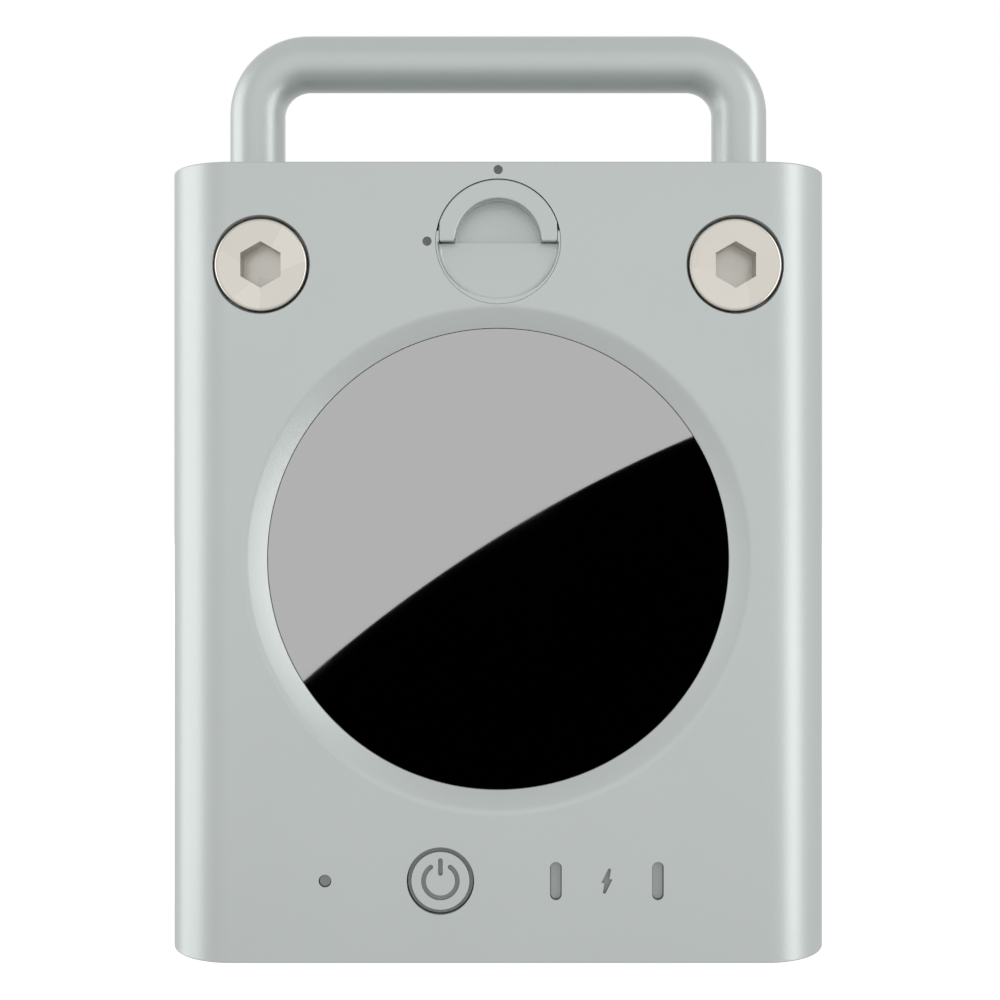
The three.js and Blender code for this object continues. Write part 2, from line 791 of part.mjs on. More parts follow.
function makePowerButton() {
  const flangeFront = frontWall + looseGap;
  const outline = [
    [0, power.sink],
    [power.capRadius, power.sink],
    [power.capRadius, power.grooveDepth],
    [power.guideRadius, power.grooveDepth],
    [power.guideRadius, flangeFront],
    [power.flangeRadius, flangeFront],
    [power.flangeRadius, power.flangeBack],
    [power.stemRadius, power.flangeBack],
    [power.stemRadius, power.stemEnd],
    [0, power.stemEnd],
  ];
  const bar = uprightPill(icon.stroke, icon.barHigh - icon.barLow);
  const barMiddle = controlsZ + (icon.barHigh + icon.barLow) / 2;
  const ring = openRing(icon.radius, icon.stroke, icon.gapDegrees);
  const button = cut(
    turned(outline, power.x, controlsZ, medium),
    sunk(ring, power.x, controlsZ, -through, icon.depth, markSteps),
    sunk(bar, power.x, barMiddle, -through, icon.depth),
  );
  place("power_button", button, anodised);

  const { half, height, plungerRadius, travelGap } = tactSwitch;
  const caseFront = boards.depth0 - height;
  const switchCase = box(
    power.x - half,
    power.x + half,
    front + caseFront,
    front + boards.depth0 - restGap,
    controlsZ - half,
    controlsZ + half,
  );
  const plungerFront = power.stemEnd + travelGap;
  const plunger = rodAlongY(power.x, controlsZ, plungerRadius, plungerFront, caseFront + through / 2, small);
  place("button_switch", join(switchCase, plunger), mouldedPlastic);
}

// ---- Charging ports: a metal shell with a tongue inside, and a dust plug that fills its mouth ----
const receptacle = { wall: 0.4, play: 0.03, mouthDepth: 8.2 };
const contact = { halfWidth: 0.35, halfHeight: 3.35, depth: 1.8 };

function makePorts() {
  const { wall, play, mouthDepth } = receptacle;
  const around = port.plugPlay;
  const shellOutline = uprightPill(port.width + 2 * wall, port.height + 2 * wall);
  const mouthOutline = uprightPill(port.width + 2 * play, port.height + 2 * play);
  const plugOutline = uprightPill(port.width - port.plugPlay, port.height - port.plugPlay);
  port.x.forEach((x, index) => {
    const name = sides[index][0];
    const shell = cut(
      sunk(shellOutline, x, controlsZ, port.lip + restGap, boards.depth0 - restGap),
      sunk(mouthOutline, x, controlsZ, 0, mouthDepth),
    );
    const tongueBlock = box(
      x - contact.halfWidth,
      x + contact.halfWidth,
      front + contact.depth,
      front + mouthDepth + through,
      controlsZ - contact.halfHeight,
      controlsZ + contact.halfHeight,
    );
    place(`usb_receptacle_${name}`, join(shell, tongueBlock), steel);

    const plug = cut(
      sunk(plugOutline, x, controlsZ, port.plugSink, port.plugEnd),
      box(
        x - contact.halfWidth - around,
        x + contact.halfWidth + around,
        front + contact.depth - around,
        front + port.plugEnd + through,
        controlsZ - contact.halfHeight - around,
        controlsZ + contact.halfHeight + around,
      ),
    );
    place(`port_plug_${name}`, plug, silicone);
  });
}

// ---- Circuit boards and their big parts ----
const controlBoard = { halfWidth: 44, low: 9, high: 31 };
const mainBoard = { halfWidth: 40, low: 36, high: 132 };
const inductor = { x0: -30, low: 62, size: 24, height: 12 };
const can = { radius: 6, height: 26, low: 60, x: [10, 25] };

function board({ halfWidth, low, high }) {
  return box(-halfWidth, halfWidth, front + boards.depth0, front + boards.depth1, low, high);
}

function makeBoards() {
  place("control_board", board(controlBoard), boardGreen);
  place("main_board", board(mainBoard), boardGreen);
  const behind = front + boards.depth1 + restGap;
  const { x0, low, size, height } = inductor;
  place("power_inductor", box(x0, x0 + size, behind, behind + height, low, low + size), ferrite);
  can.x.forEach((x, index) => {
    const body = rodAlongZ(x, behind + can.radius, can.radius, can.low, can.low + can.height);
    place(`capacitor_${index + 1}`, body, cellWrap);
  });
}

// ---- Battery: a channel-shaped frame, two layers of round cells in three holders, and bus bars ----
const frameWall = 2;
const frame = { halfWidth: 47.6, front: 5, back: 30, high: 134 };
const lug = { halfWidth: 4, halfDepth: 3, high: 16 };
const holder = { halfWidth: 45.3, front: 9.4, back: 30.4, grip: 4, lip: 3.6 };

function makeCoreFrame() {
  const low = floorOfBody + capThickness + looseGap;
  const channel = cut(
    box(-frame.halfWidth, frame.halfWidth, frame.front, frame.back, low, frame.high),
    box(
      -frame.halfWidth + frameWall,
      frame.halfWidth - frameWall,
      frame.front + frameWall,
      frame.back + through,
      low - through,
      frame.high + through,
    ),
  );
  let made = channel;
  for (const [, side] of sides) {
    for (const y of baseScrew.y) {
      const x = side * baseScrew.x;
      const { halfWidth, halfDepth, high } = lug;
      const block = box(x - halfWidth, x + halfWidth, y - halfDepth, y + halfDepth, low, high);
      const boreTop = floorOfBody + baseScrew.length + through;
      const threaded = rodAlongZ(x, y, baseScrew.shankRadius + restGap, low - through, boreTop, small);
      made = cut(join(made, block), threaded);
    }
  }
  place("core_frame", made, anodised);
}

function columnX(column) {
  return (column - (cell.columns - 1) / 2) * cell.pitch;
}

function makeCells() {
  let count = 0;
  for (const low of layerFloors) {
    for (let column = 0; column < cell.columns; column++) {
      count += 1;
      const can = rodAlongZ(columnX(column), cell.y, cell.radius, low, low + cell.height);
      place(`battery_cell_${count}`, can, cellWrap);
    }
  }
}

// A holder spans low to high and has a socket for the end of each cell that reaches into it.
function cellHolder(name, low, high, sockets) {
  let plate = box(-holder.halfWidth, holder.halfWidth, holder.front, holder.back, low, high);
  for (const [z0, z1] of sockets) {
    for (let column = 0; column < cell.columns; column++) {
      plate = cut(plate, rodAlongZ(columnX(column), cell.y, cell.radius + restGap, z0, z1));
    }
  }
  place(name, plate, mouldedPlastic);
}

const strip = { halfWidth: 36, halfDepth: 4, thickness: 0.3 };

function busBar(low) {
  const { halfWidth, halfDepth, thickness } = strip;
  return box(-halfWidth, halfWidth, cell.y - halfDepth, cell.y + halfDepth, low, low + thickness);
}

function makeBattery() {
  makeCells();
  const [lowerFloor, upperFloor] = layerFloors;
  const lowerTop = lowerFloor + cell.height;
  const upperTop = upperFloor + cell.height;
  const { grip, lip } = holder;
  const lowest = lowerFloor - lip;
  const highest = upperTop + lip;
  cellHolder("cell_holder_lower", lowest, lowerFloor + grip, [
    [lowerFloor - restGap, lowerFloor + grip + through],
  ]);
  cellHolder("cell_holder_middle", lowerTop - grip, upperFloor + grip, [
    [lowerTop - grip - through, lowerTop + restGap],
    [upperFloor - restGap, upperFloor + grip + through],
  ]);
  cellHolder("cell_holder_upper", upperTop - grip, highest, [
    [upperTop - grip - through, upperTop + restGap],
  ]);
  place("bus_bar_lower", busBar(lowest - restGap - strip.thickness), nickel);
  place("bus_bar_upper", busBar(highest + restGap), nickel);
}

makeSleeve();
makeCaps();
makeFeet();
makeBaseScrews();
makeHandle();
makeAnchors();
makeHandleScrews();
makeGrommets();
makeChargingPad();
makeDial();
makeBail();
makeLockWorks();
makeStatusLight();
makePowerButton();
makePorts();
makeBoards();
makeCoreFrame();
makeBattery();

export default station;
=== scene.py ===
# %% [markdown]
# # A compact power station around its fixed CAD frame
# The real object is an aluminium sleeve with a cap at each end, a round-bar handle, a lock dial with a
# fold-up half ring, a glass charging pad and a row of small controls. The CAD model already says how big
# every part is and how it moves. This script adds what a camera sees: edges that catch the light, curved
# surfaces that are truly round, and a finish for every part. It could be drawn by hand in the editor, but
# a script gives the same model every time, so each step below is code.

# %% Load the frame
import json
import math
import bmesh
import bpy
from mathutils import Matrix, Vector


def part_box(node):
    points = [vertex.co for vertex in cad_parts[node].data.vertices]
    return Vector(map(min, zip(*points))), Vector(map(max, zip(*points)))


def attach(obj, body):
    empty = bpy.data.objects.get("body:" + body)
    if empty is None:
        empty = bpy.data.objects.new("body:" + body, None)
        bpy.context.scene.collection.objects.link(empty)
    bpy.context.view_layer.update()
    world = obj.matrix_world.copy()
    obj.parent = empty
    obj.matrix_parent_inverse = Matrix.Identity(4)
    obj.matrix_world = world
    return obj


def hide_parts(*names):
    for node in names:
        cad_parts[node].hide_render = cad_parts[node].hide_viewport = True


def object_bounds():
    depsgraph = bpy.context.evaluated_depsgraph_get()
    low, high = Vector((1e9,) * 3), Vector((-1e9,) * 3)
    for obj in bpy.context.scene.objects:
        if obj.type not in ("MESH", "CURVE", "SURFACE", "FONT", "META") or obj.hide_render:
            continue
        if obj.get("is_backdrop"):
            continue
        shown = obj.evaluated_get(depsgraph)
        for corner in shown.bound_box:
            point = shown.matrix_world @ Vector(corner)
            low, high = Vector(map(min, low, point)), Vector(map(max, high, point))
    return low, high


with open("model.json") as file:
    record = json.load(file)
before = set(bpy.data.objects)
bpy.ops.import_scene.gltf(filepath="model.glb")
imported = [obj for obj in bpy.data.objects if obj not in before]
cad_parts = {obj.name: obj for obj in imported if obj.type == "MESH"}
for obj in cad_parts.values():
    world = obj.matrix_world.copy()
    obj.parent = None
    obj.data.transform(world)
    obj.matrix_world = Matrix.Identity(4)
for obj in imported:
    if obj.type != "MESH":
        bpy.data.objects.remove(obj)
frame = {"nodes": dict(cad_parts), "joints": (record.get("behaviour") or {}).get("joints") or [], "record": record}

MM = 0.001
WELD = 0.001 * MM
cad_low, cad_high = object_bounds()

# %% [markdown]
# Every place and size starts from a box of the CAD frame. The front face is the plane that the small
# parts are set into, so a depth below means a distance behind that face, towards +Y.

# %% Places taken from the frame
sleeve_low, sleeve_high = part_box("housing_sleeve")
FRONT = sleeve_low.y
AXIS_Y = Vector((0, 1, 0))
AXIS_Z = Vector((0, 0, 1))


def middle_of(node):
    low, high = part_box(node)
    return (low + high) / 2


def half_width_of(node):
    low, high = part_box(node)
    return (high.x - low.x) / 2


def depths_of(node):
    """Front and back of a node in millimetres behind the front face."""
    low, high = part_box(node)
    return (low.y - FRONT) / MM, (high.y - FRONT) / MM


def height_of(node):
    low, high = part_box(node)
    return (high.z - low.z) / MM


def joint_place(name):
    return Vector(next(joint["pos_m"] for joint in frame["joints"] if joint["name"] == name))


pad_middle = middle_of("charging_glass")
dial_middle = joint_place("latch_turn")
button_middle = middle_of("power_button")
print("front face at y =", round(FRONT / MM, 2), "mm, pad centre z =", round(pad_middle.z / MM, 2), "mm")

# %% [markdown]
# ## Helpers for shapes
# A turned part, such as a screw head or a lens, is one outline spun about an axis. Machined corners are
# never perfectly sharp, and the small radius on them is what draws a bright line under studio light.
# The first helper takes an outline with a radius at each corner and puts the arcs in.


# %% Outlines with rounded corners
def rounded_outline(corners, steps=5):
    """corners holds (radius, depth, fillet) in millimetres. A fillet of 0 keeps the corner sharp."""
    points = []
    for index, (radius, depth, fillet) in enumerate(corners):
        here = Vector((radius, depth))
        if not fillet:
            points.append(here)
            continue
        before = Vector(corners[index - 1][:2])
        after = Vector(corners[(index + 1) % len(corners)][:2])
        to_before = (before - here).normalized()
        to_after = (after - here).normalized()
        half_angle = to_before.angle(to_after) / 2
        start = here + to_before * fillet / math.tan(half_angle)
        end = here + to_after * fillet / math.tan(half_angle)
        centre = here + (to_before + to_after).normalized() * fillet / math.sin(half_angle)
        for step in range(steps + 1):
            share = step / steps
            arm = (start - centre).normalized().slerp((end - centre).normalized(), share)
            points.append(centre + arm * fillet)
    return points


# %% Parts turned on a lathe
def spun(points, centre, axis, steps, closed=False):
    """Spins a chain of points about an axis through centre. A closed chain makes a ring."""
    shape = bmesh.new()
    ring = [shape.verts.new(point) for point in points]
    pairs = list(zip(ring, ring[1:]))
    if closed:
        pairs.append((ring[-1], ring[0]))
    edges = [shape.edges.new(pair) for pair in pairs]
    bmesh.ops.spin(shape, geom=ring + edges, cent=centre, axis=axis, angle=math.tau, steps=steps,
                   use_merge=True)
    bmesh.ops.remove_doubles(shape, verts=shape.verts, dist=WELD)
    bmesh.ops.recalc_face_normals(shape, faces=shape.faces)
    return shape


def turned(corners, middle, steps=96):
    """Turns an outline of (radius, depth, fillet) about the line along Y through middle."""
    outline = rounded_outline(corners)
    points = [(middle.x + p.x * MM, FRONT + p.y * MM, middle.z) for p in outline]
    return spun(points, (middle.x, 0, middle.z), AXIS_Y, steps)


def stood_up(corners, middle, base_z, steps=64, closed=False):
    """Turns an outline of (radius, height, fillet) about the upright line through middle."""
    outline = rounded_outline(corners)
    points = [(middle.x + p.x * MM, middle.y, base_z + p.y * MM) for p in outline]
    return spun(points, (middle.x, middle.y, 0), AXIS_Z, steps, closed)


# %% Blocks and rods, which also serve as cutters
def edges_of(result, key="geom"):
    return [part for part in result[key] if isinstance(part, bmesh.types.BMEdge)]


def vertices_of(result, key="geom"):
    return [part for part in result[key] if isinstance(part, bmesh.types.BMVert)]


def block(low, high, round_along=None, radius=0.0, segments=10):
    """A box between two corners. Its four edges along one axis can be rounded."""
    shape = bmesh.new()
    low, high = Vector(low), Vector(high)
    place = Matrix.Translation((low + high) / 2) @ Matrix.Diagonal((*(high - low), 1))
    bmesh.ops.create_cube(shape, size=1.0, matrix=place)
    if round_along is not None:
        along = [e for e in shape.edges
                 if abs((e.verts[0].co - e.verts[1].co).normalized().dot(round_along)) > 0.99]
        bmesh.ops.bevel(shape, geom=along, offset=radius, segments=segments, profile=0.5,
                        affect="EDGES", material=-1)
        bmesh.ops.remove_doubles(shape, verts=shape.verts, dist=WELD)
    return shape


def rod(start, end, radius, sides=48):
    """A solid cylinder from start to end."""
    shape = bmesh.new()
    start, end = Vector(start), Vector(end)
    turn = (end - start).to_track_quat("Z", "Y").to_matrix().to_4x4()
    place = Matrix.Translation((start + end) / 2) @ turn
    bmesh.ops.create_cone(shape, cap_ends=True, segments=sides, radius1=radius, radius2=radius,
                          depth=(end - start).length, matrix=place)
    return shape


def front_rod(middle, radius_mm, depth0_mm, depth1_mm, sides=48):
    """A rod along Y, given by its depths behind the front face."""
    start = (middle.x, FRONT + depth0_mm * MM, middle.z)
    end = (middle.x, FRONT + depth1_mm * MM, middle.z)
    return rod(start, end, radius_mm * MM, sides)


def upright_rod(middle, radius_mm, low, high, sides=48):
    """A rod along Z between two heights."""
    return rod((middle.x, middle.y, low), (middle.x, middle.y, high), radius_mm * MM, sides)


def upright_pill(middle, width, height, depth0_mm, depth1_mm):
    """A slot-shaped block along Y. Its ends are rounded by just under half its width."""
    just_under = 0.999
    low = (middle.x - width / 2, FRONT + depth0_mm * MM, middle.z - height / 2)
    high = (middle.x + width / 2, FRONT + depth1_mm * MM, middle.z + height / 2)
    return block(low, high, AXIS_Y, width / 2 * just_under, 14)


# %% [markdown]
# Holes and pockets are cut with the Boolean modifier, as a milling machine would cut them. The result is
# read back into a bmesh, so the cutters leave nothing behind in the scene. Edges that the cut leaves
# between two flat pieces of the same face are dissolved, because a clean face bevels and shades better.


# %% Cut and join shapes
SAME_PLANE = math.radians(0.3)


def as_object(shape, name):
    mesh = bpy.data.meshes.new(name)
    shape.to_mesh(mesh)
    shape.free()
    made = bpy.data.objects.new(name, mesh)
    bpy.context.scene.collection.objects.link(made)
    return made


def combined(shape, others, operation="DIFFERENCE"):
    """One shape with the others cut from it, joined to it or kept in common with it."""
    target = as_object(shape, "work")
    tools = [as_object(other, "tool") for other in others]
    for tool in tools:
        change = target.modifiers.new("change", "BOOLEAN")
        change.operation = operation
        change.solver = "EXACT"
        change.object = tool
    graph = bpy.context.evaluated_depsgraph_get()
    result = bmesh.new()
    result.from_mesh(target.evaluated_get(graph).to_mesh())
    for used in [target, *tools]:
        data = used.data
        bpy.data.objects.remove(used)
        bpy.data.meshes.remove(data)
    bmesh.ops.remove_doubles(result, verts=result.verts, dist=2 * WELD)
    bmesh.ops.dissolve_limit(result, angle_limit=SAME_PLANE, verts=result.verts,
                             edges=result.edges, delimit={"NORMAL"})
    bmesh.ops.recalc_face_normals(result, faces=result.faces)
    return result


# %% [markdown]
# A finished part stays at the origin with its place in its mesh, rides on a CAD body, and replaces the
# plain CAD node that it stands for. Smooth shading blends the direction of neighbouring faces, which
# would bend the light on a big flat face or a long upright wall, so the edges round those are marked
# sharp. The Bevel modifier then rounds only the real corners, and its hardened normals keep flats flat.


# %% Turn a shape into a piece of the model
ALMOST_NOTHING = 0.00001
MANY_CORNERS = 12
END_OF_WALL = math.radians(5)


def is_flat(face):
    """A flat face lies square to an axis, or has the many corners that only a milled flat has."""
    along_axis = max(abs(part) for part in face.normal) > 1 - ALMOST_NOTHING
    return along_axis or len(face.verts) > MANY_CORNERS


def is_upright(face):
    return abs(face.normal.z) < ALMOST_NOTHING


def mark_flat_borders(shape, sharp_degrees):
    shape.normal_update()
    for edge in shape.edges:
        if len(edge.link_faces) != 2:
            continue
        first, second = edge.link_faces
        angle = edge.calc_face_angle(0)
        corner = angle > math.radians(sharp_degrees)
        end_of_wall = is_upright(first) != is_upright(second) and angle > END_OF_WALL
        edge.smooth = not corner and not end_of_wall and is_flat(first) == is_flat(second)
    for face in shape.faces:
        face.smooth = True


def finished(name, shape, finish, body, replaced, soften=0.0, sharp_degrees=32, painted_shade_finish=None):
    """Makes the object. The second finish, if there is one, goes on the faces whose material index is 1: painted
    shade, a darker finish for the faces of recesses.
    """
    mark_flat_borders(shape, sharp_degrees)
    piece = as_object(shape, name)
    piece.data.materials.append(finish)
    if painted_shade_finish:
        piece.data.materials.append(painted_shade_finish)
    if soften:
        bevel = piece.modifiers.new("soft_edges", "BEVEL")
        bevel.width = soften * MM
        bevel.segments = 2
        bevel.limit_method = "ANGLE"
        bevel.angle_limit = math.radians(sharp_degrees)
        bevel.use_clamp_overlap = False
        bevel.harden_normals = True
    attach(piece, body)
    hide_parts(*replaced)
    print(name, "faces:", len(piece.data.polygons), "on", body)
    return piece


# %% [markdown]
# ## Finishes
# Each finish is a small node tree on the Principled shader. The colour, roughness and metal of the whole
# surface stand on the shader's own sockets. Textures read Object coordinates, so a grain has a real size
# in metres: a scale of 4000 gives grains of about a quarter of a millimetre.


# %% Helpers for materials
def new_finish(name, color, roughness, metallic=0.0, specular=0.5, coat=0.0):
    material = bpy.data.materials.new(name)
    material.use_nodes = True
    shader = material.node_tree.nodes["Principled BSDF"]
    shader.inputs["Base Color"].default_value = (*color, 1)
    shader.inputs["Roughness"].default_value = roughness
    shader.inputs["Metallic"].default_value = metallic
    shader.inputs["Specular IOR Level"].default_value = specular
    shader.inputs["Coat Weight"].default_value = coat
    material.diffuse_color = (*color, 1)
    return material, shader


def texture(material, kind, scale, stretch=(1, 1, 1), centre=(0, 0, 0), **settings):
    """A procedural texture on Object coordinates, centred and stretched by a Mapping node."""
    nodes = material.node_tree.nodes
    links = material.node_tree.links
    where = nodes.new("ShaderNodeTexCoord")
    mapping = nodes.new("ShaderNodeMapping")
    mapping.vector_type = "TEXTURE"
    mapping.inputs["Location"].default_value = centre
    mapping.inputs["Scale"].default_value = stretch
    links.new(where.outputs["Object"], mapping.inputs["Vector"])
    node = nodes.new(kind)
    if scale is not None:
        node.inputs["Scale"].default_value = scale
    for key, value in settings.items():
        if key in node.inputs:
            node.inputs[key].default_value = value
        else:
            setattr(node, key, value)
    links.new(mapping.outputs["Vector"], node.inputs["Vector"])
    return node


def spread(material, source, low, high):
    """Maps a texture's 0 to 1 onto a range, for example of roughness."""
    node = material.node_tree.nodes.new("ShaderNodeMapRange")
    node.inputs["To Min"].default_value = low
    node.inputs["To Max"].default_value = high
    material.node_tree.links.new(source, node.inputs["Value"])
    return node.outputs["Result"]


def tint(material, source, dark, light):
    """Mixes two close colours by a texture."""
    ramp = material.node_tree.nodes.new("ShaderNodeValToRGB")
    ramp.color_ramp.elements[0].color = (*dark, 1)
    ramp.color_ramp.elements[1].color = (*light, 1)
    material.node_tree.links.new(source, ramp.inputs["Fac"])
    return ramp.outputs["Color"]


def shaded(color, factor):
    return [min(part * factor, 1) for part in color]


def feed(shader, socket, source):
    shader.id_data.links.new(source, shader.inputs[socket])


def vary_roughness(material, shader, source, middle, reach):
    feed(shader, "Roughness", spread(material, source, middle - reach, middle + reach))


def relief(material, shader, source, height_mm, previous=None):
    """Bump of a real height in millimetres, on top of an earlier bump if there is one."""
    bump = material.node_tree.nodes.new("ShaderNodeBump")
    bump.inputs["Distance"].default_value = height_mm * MM
    links = material.node_tree.links
    links.new(source, bump.inputs["Height"])
    if previous is not None:
        links.new(previous.outputs["Normal"], bump.inputs["Normal"])
    links.new(bump.outputs["Normal"], shader.inputs["Normal"])
    return bump


# %% [markdown]
# Bead blasting peppers the aluminium with tiny round dents before it is anodised. The dye then sits in a
# thin clear oxide, so the surface looks half like metal and half like matt paint. Two grain sizes are
# layered: dents that can just be made out, and a finer tooth that only widens the highlights.


# %% Bead-blasted anodised aluminium
def anodised_aluminium():
    color = (0.515, 0.55, 0.54)
    roughness = 0.4
    dent_height_mm, tooth_height_mm = 0.018, 0.006
    material, shader = new_finish("anodised_aluminium", color, roughness, metallic=0.72)
    dents = texture(material, "ShaderNodeTexVoronoi", 2600, feature="SMOOTH_F1", Smoothness=0.6)
    tooth = texture(material, "ShaderNodeTexNoise", 9000, Detail=3.0, Roughness=0.6)
    cloud = texture(material, "ShaderNodeTexNoise", 26, Detail=2.0)
    dye = tint(material, cloud.outputs["Fac"], shaded(color, 0.975), shaded(color, 1.02))
    feed(shader, "Base Color", dye)
    vary_roughness(material, shader, tooth.outputs["Fac"], roughness, 0.06)
    first = relief(material, shader, dents.outputs["Distance"], dent_height_mm)
    relief(material, shader, tooth.outputs["Fac"], tooth_height_mm, first)
    return material


housing_finish = anodised_aluminium()
print("made", housing_finish.name)

# %% [markdown]
# The big screws are nickel plated and turned on a lathe. Very fine rings round each screw's own axis
# stretch its highlights. The Mapping node puts the middle of the rings on the screw. A coarse pattern of
# cells paints lighter and darker patches into the colour: painted reflections of the studio in the head.


# %% Satin nickel with turning rings
def turned_nickel(name, middle, color=(0.66, 0.63, 0.575), roughness=0.21):
    material, shader = new_finish(name, color, roughness, metallic=1.0)
    rings = texture(material, "ShaderNodeTexWave", 900, centre=middle, wave_type="RINGS",
                    rings_direction="Y", Distortion=1.5, Detail=2.0)
    cloud = texture(material, "ShaderNodeTexNoise", 220, Detail=3.0)
    # painted reflections: lighter and darker cells of colour stand for the studio mirrored in the head
    reflection_cells = texture(material, "ShaderNodeTexVoronoi", 75, Randomness=1.0)
    painted_reflections = tint(material, reflection_cells.outputs["Color"], shaded(color, 0.93), shaded(color, 1.06))
    feed(shader, "Base Color", painted_reflections)
    vary_roughness(material, shader, cloud.outputs["Fac"], roughness, 0.06)
    relief(material, shader, rings.outputs["Fac"], 0.0012)
    return material


# %% [markdown]
# The charging pad is black-printed glass. Its own colour is almost nothing: all that shows is what it
# reflects, so the roughness stays very low and only a trace of handling marks changes it.


# %% Polished black glass
def black_glass():
    material, shader = new_finish("polished_black_glass", (0.0012, 0.0012, 0.0013), 0.02)
    smears = texture(material, "ShaderNodeTexNoise", 38, stretch=(1, 1, 2.5), Detail=4.0, Distortion=0.6)
    feed(shader, "Roughness", spread(material, smears.outputs["Fac"], 0.005, 0.03))
    return material


glass_finish = black_glass()
print("made", glass_finish.name)

# %% [markdown]
# Rubber, silicone and moulded plastic have no metal in them. What tells them apart is the size of their
# grain and how far they spread the light: rubber is dull with a coarse mould grain, silicone is softer and
# finer, and the glass-filled plastic of the hidden brackets shows short flow streaks.


# %% Rubber, silicone and plastics
def moulded(name, color, roughness, grain_scale, grain_mm, stretch=(1, 1, 1), coat=0.0):
    material, shader = new_finish(name, color, roughness, coat=coat)
    grain = texture(material, "ShaderNodeTexNoise", grain_scale, stretch=stretch, Detail=3.0)
    patches = texture(material, "ShaderNodeTexNoise", 60, Detail=2.0)
    mottled = tint(material, patches.outputs["Fac"], shaded(color, 0.9), shaded(color, 1.1))
    feed(shader, "Base Color", mottled)
    vary_roughness(material, shader, grain.outputs["Fac"], roughness, 0.08)
    relief(material, shader, grain.outputs["Fac"], grain_mm)
    return material


rubber_finish = moulded("foot_rubber", (0.035, 0.037, 0.039), 0.8, 3200, 0.02)
silicone_finish = moulded("grey_silicone", (0.33, 0.35, 0.345), 0.62, 5200, 0.006)
plastic_finish = moulded("glass_filled_plastic", (0.022, 0.024, 0.027), 0.5, 2600, 0.01,
                         stretch=(1, 1, 4))
light_pipe_finish = moulded("smoked_light_pipe", (0.2, 0.215, 0.21), 0.3, 1500, 0.003, coat=0.4)
cell_finish = moulded("heat_shrink_sleeve", (0.04, 0.15, 0.36), 0.32, 900, 0.006,
                      stretch=(1, 1, 6), coat=0.3)
# painted shade: a darker grey that stands for the shadow in the engraved marks, dots and button groove
recess_shade_finish = moulded("painted_recess_shade", (0.25, 0.262, 0.258), 0.6, 2400, 0.004)
print("made six moulded finishes")

# %% [markdown]
# Hidden parts get honest finishes too, because they show when the model is taken apart: zinc-plated
# steel, wound copper wire, pressed ferrite and a green circuit board. The copper's rings are centred on
# the coil, one ring for each turn of wire. The board shows copper tracks under its lacquer.


# %% Steel, copper, ferrite and circuit board
def zinc_steel():
    material, shader = new_finish("zinc_plated_steel", (0.52, 0.53, 0.53), 0.33, metallic=1.0)
    spangle = texture(material, "ShaderNodeTexVoronoi", 700)
    scratches = texture(material, "ShaderNodeTexNoise", 1800, stretch=(6, 1, 1), Detail=2.0)
    feed(shader, "Roughness", spread(material, spangle.outputs["Distance"], 0.26, 0.42))
    relief(material, shader, scratches.outputs["Fac"], 0.002)
    return material


def wound_copper():
    material, shader = new_finish("wound_copper_wire", (0.62, 0.22, 0.09), 0.3, metallic=1.0, coat=0.5)
    turns = texture(material, "ShaderNodeTexWave", 300, centre=pad_middle, wave_type="RINGS",
                    rings_direction="Y")
    wire = tint(material, turns.outputs["Fac"], (0.25, 0.07, 0.025), (0.68, 0.26, 0.11))
    feed(shader, "Base Color", wire)
    relief(material, shader, turns.outputs["Fac"], 0.15)
    return material


def pressed_ferrite():
    material, shader = new_finish("pressed_ferrite", (0.03, 0.03, 0.032), 0.65, metallic=0.2)
    specks = texture(material, "ShaderNodeTexVoronoi", 2600)
    grains = tint(material, specks.outputs["Distance"], (0.018, 0.018, 0.02), (0.06, 0.06, 0.064))
    feed(shader, "Base Color", grains)
    relief(material, shader, specks.outputs["Distance"], 0.01)
    return material


def circuit_board():
    material, shader = new_finish("green_circuit_board", (0.015, 0.08, 0.04), 0.35, coat=0.3)
    tracks = texture(material, "ShaderNodeTexBrick", 160, offset=0.4)
    tracks.inputs["Color1"].default_value = (0.012, 0.07, 0.033, 1)
    tracks.inputs["Color2"].default_value = (0.02, 0.1, 0.05, 1)
    tracks.inputs["Mortar"].default_value = (0.05, 0.2, 0.09, 1)
    tracks.inputs["Mortar Size"].default_value = 0.03
    feed(shader, "Base Color", tracks.outputs["Color"])
    relief(material, shader, tracks.outputs["Fac"], 0.02)
    return material


steel_finish = zinc_steel()
copper_finish = wound_copper()
ferrite_finish = pressed_ferrite()
board_finish = circuit_board()
print("made four finishes for the hidden parts")

# %% [markdown]
# CAD nodes that keep their shape only need the right finish in their material slot. The record names a
# slot for every node, so one table of slots dresses them all.

# %% Dress every CAD node
slot_finish = {
    "anodised_housing": housing_finish,
    "nickel_screw": turned_nickel("nickel_strip", Vector((0, 0, 0))),
    "plain_steel": steel_finish,
    "black_glass": glass_finish,
    "foot_rubber": rubber_finish,
    "grey_silicone": silicone_finish,
    "light_pipe": light_pipe_finish,
    "copper_winding": copper_finish,
    "ferrite": ferrite_finish,
    "black_plastic": plastic_finish,
    "circuit_board": board_finish,
    "cell_sleeve": cell_finish,
}
for row in frame["record"]["subparts"]:
    node = frame["nodes"][row["node"]]
    node.data.materials.clear()
    node.data.materials.append(slot_finish[row["material_slot"]])

# %% [markdown]
# The engraved marks, the index dots and the groove round the button get a darker grey on their faces. It
# is painted shade, standing for the shadow that falls in these shallow recesses. The faces to paint are
# found by their place: behind the front face, but not by much, and near the middle of the mark.


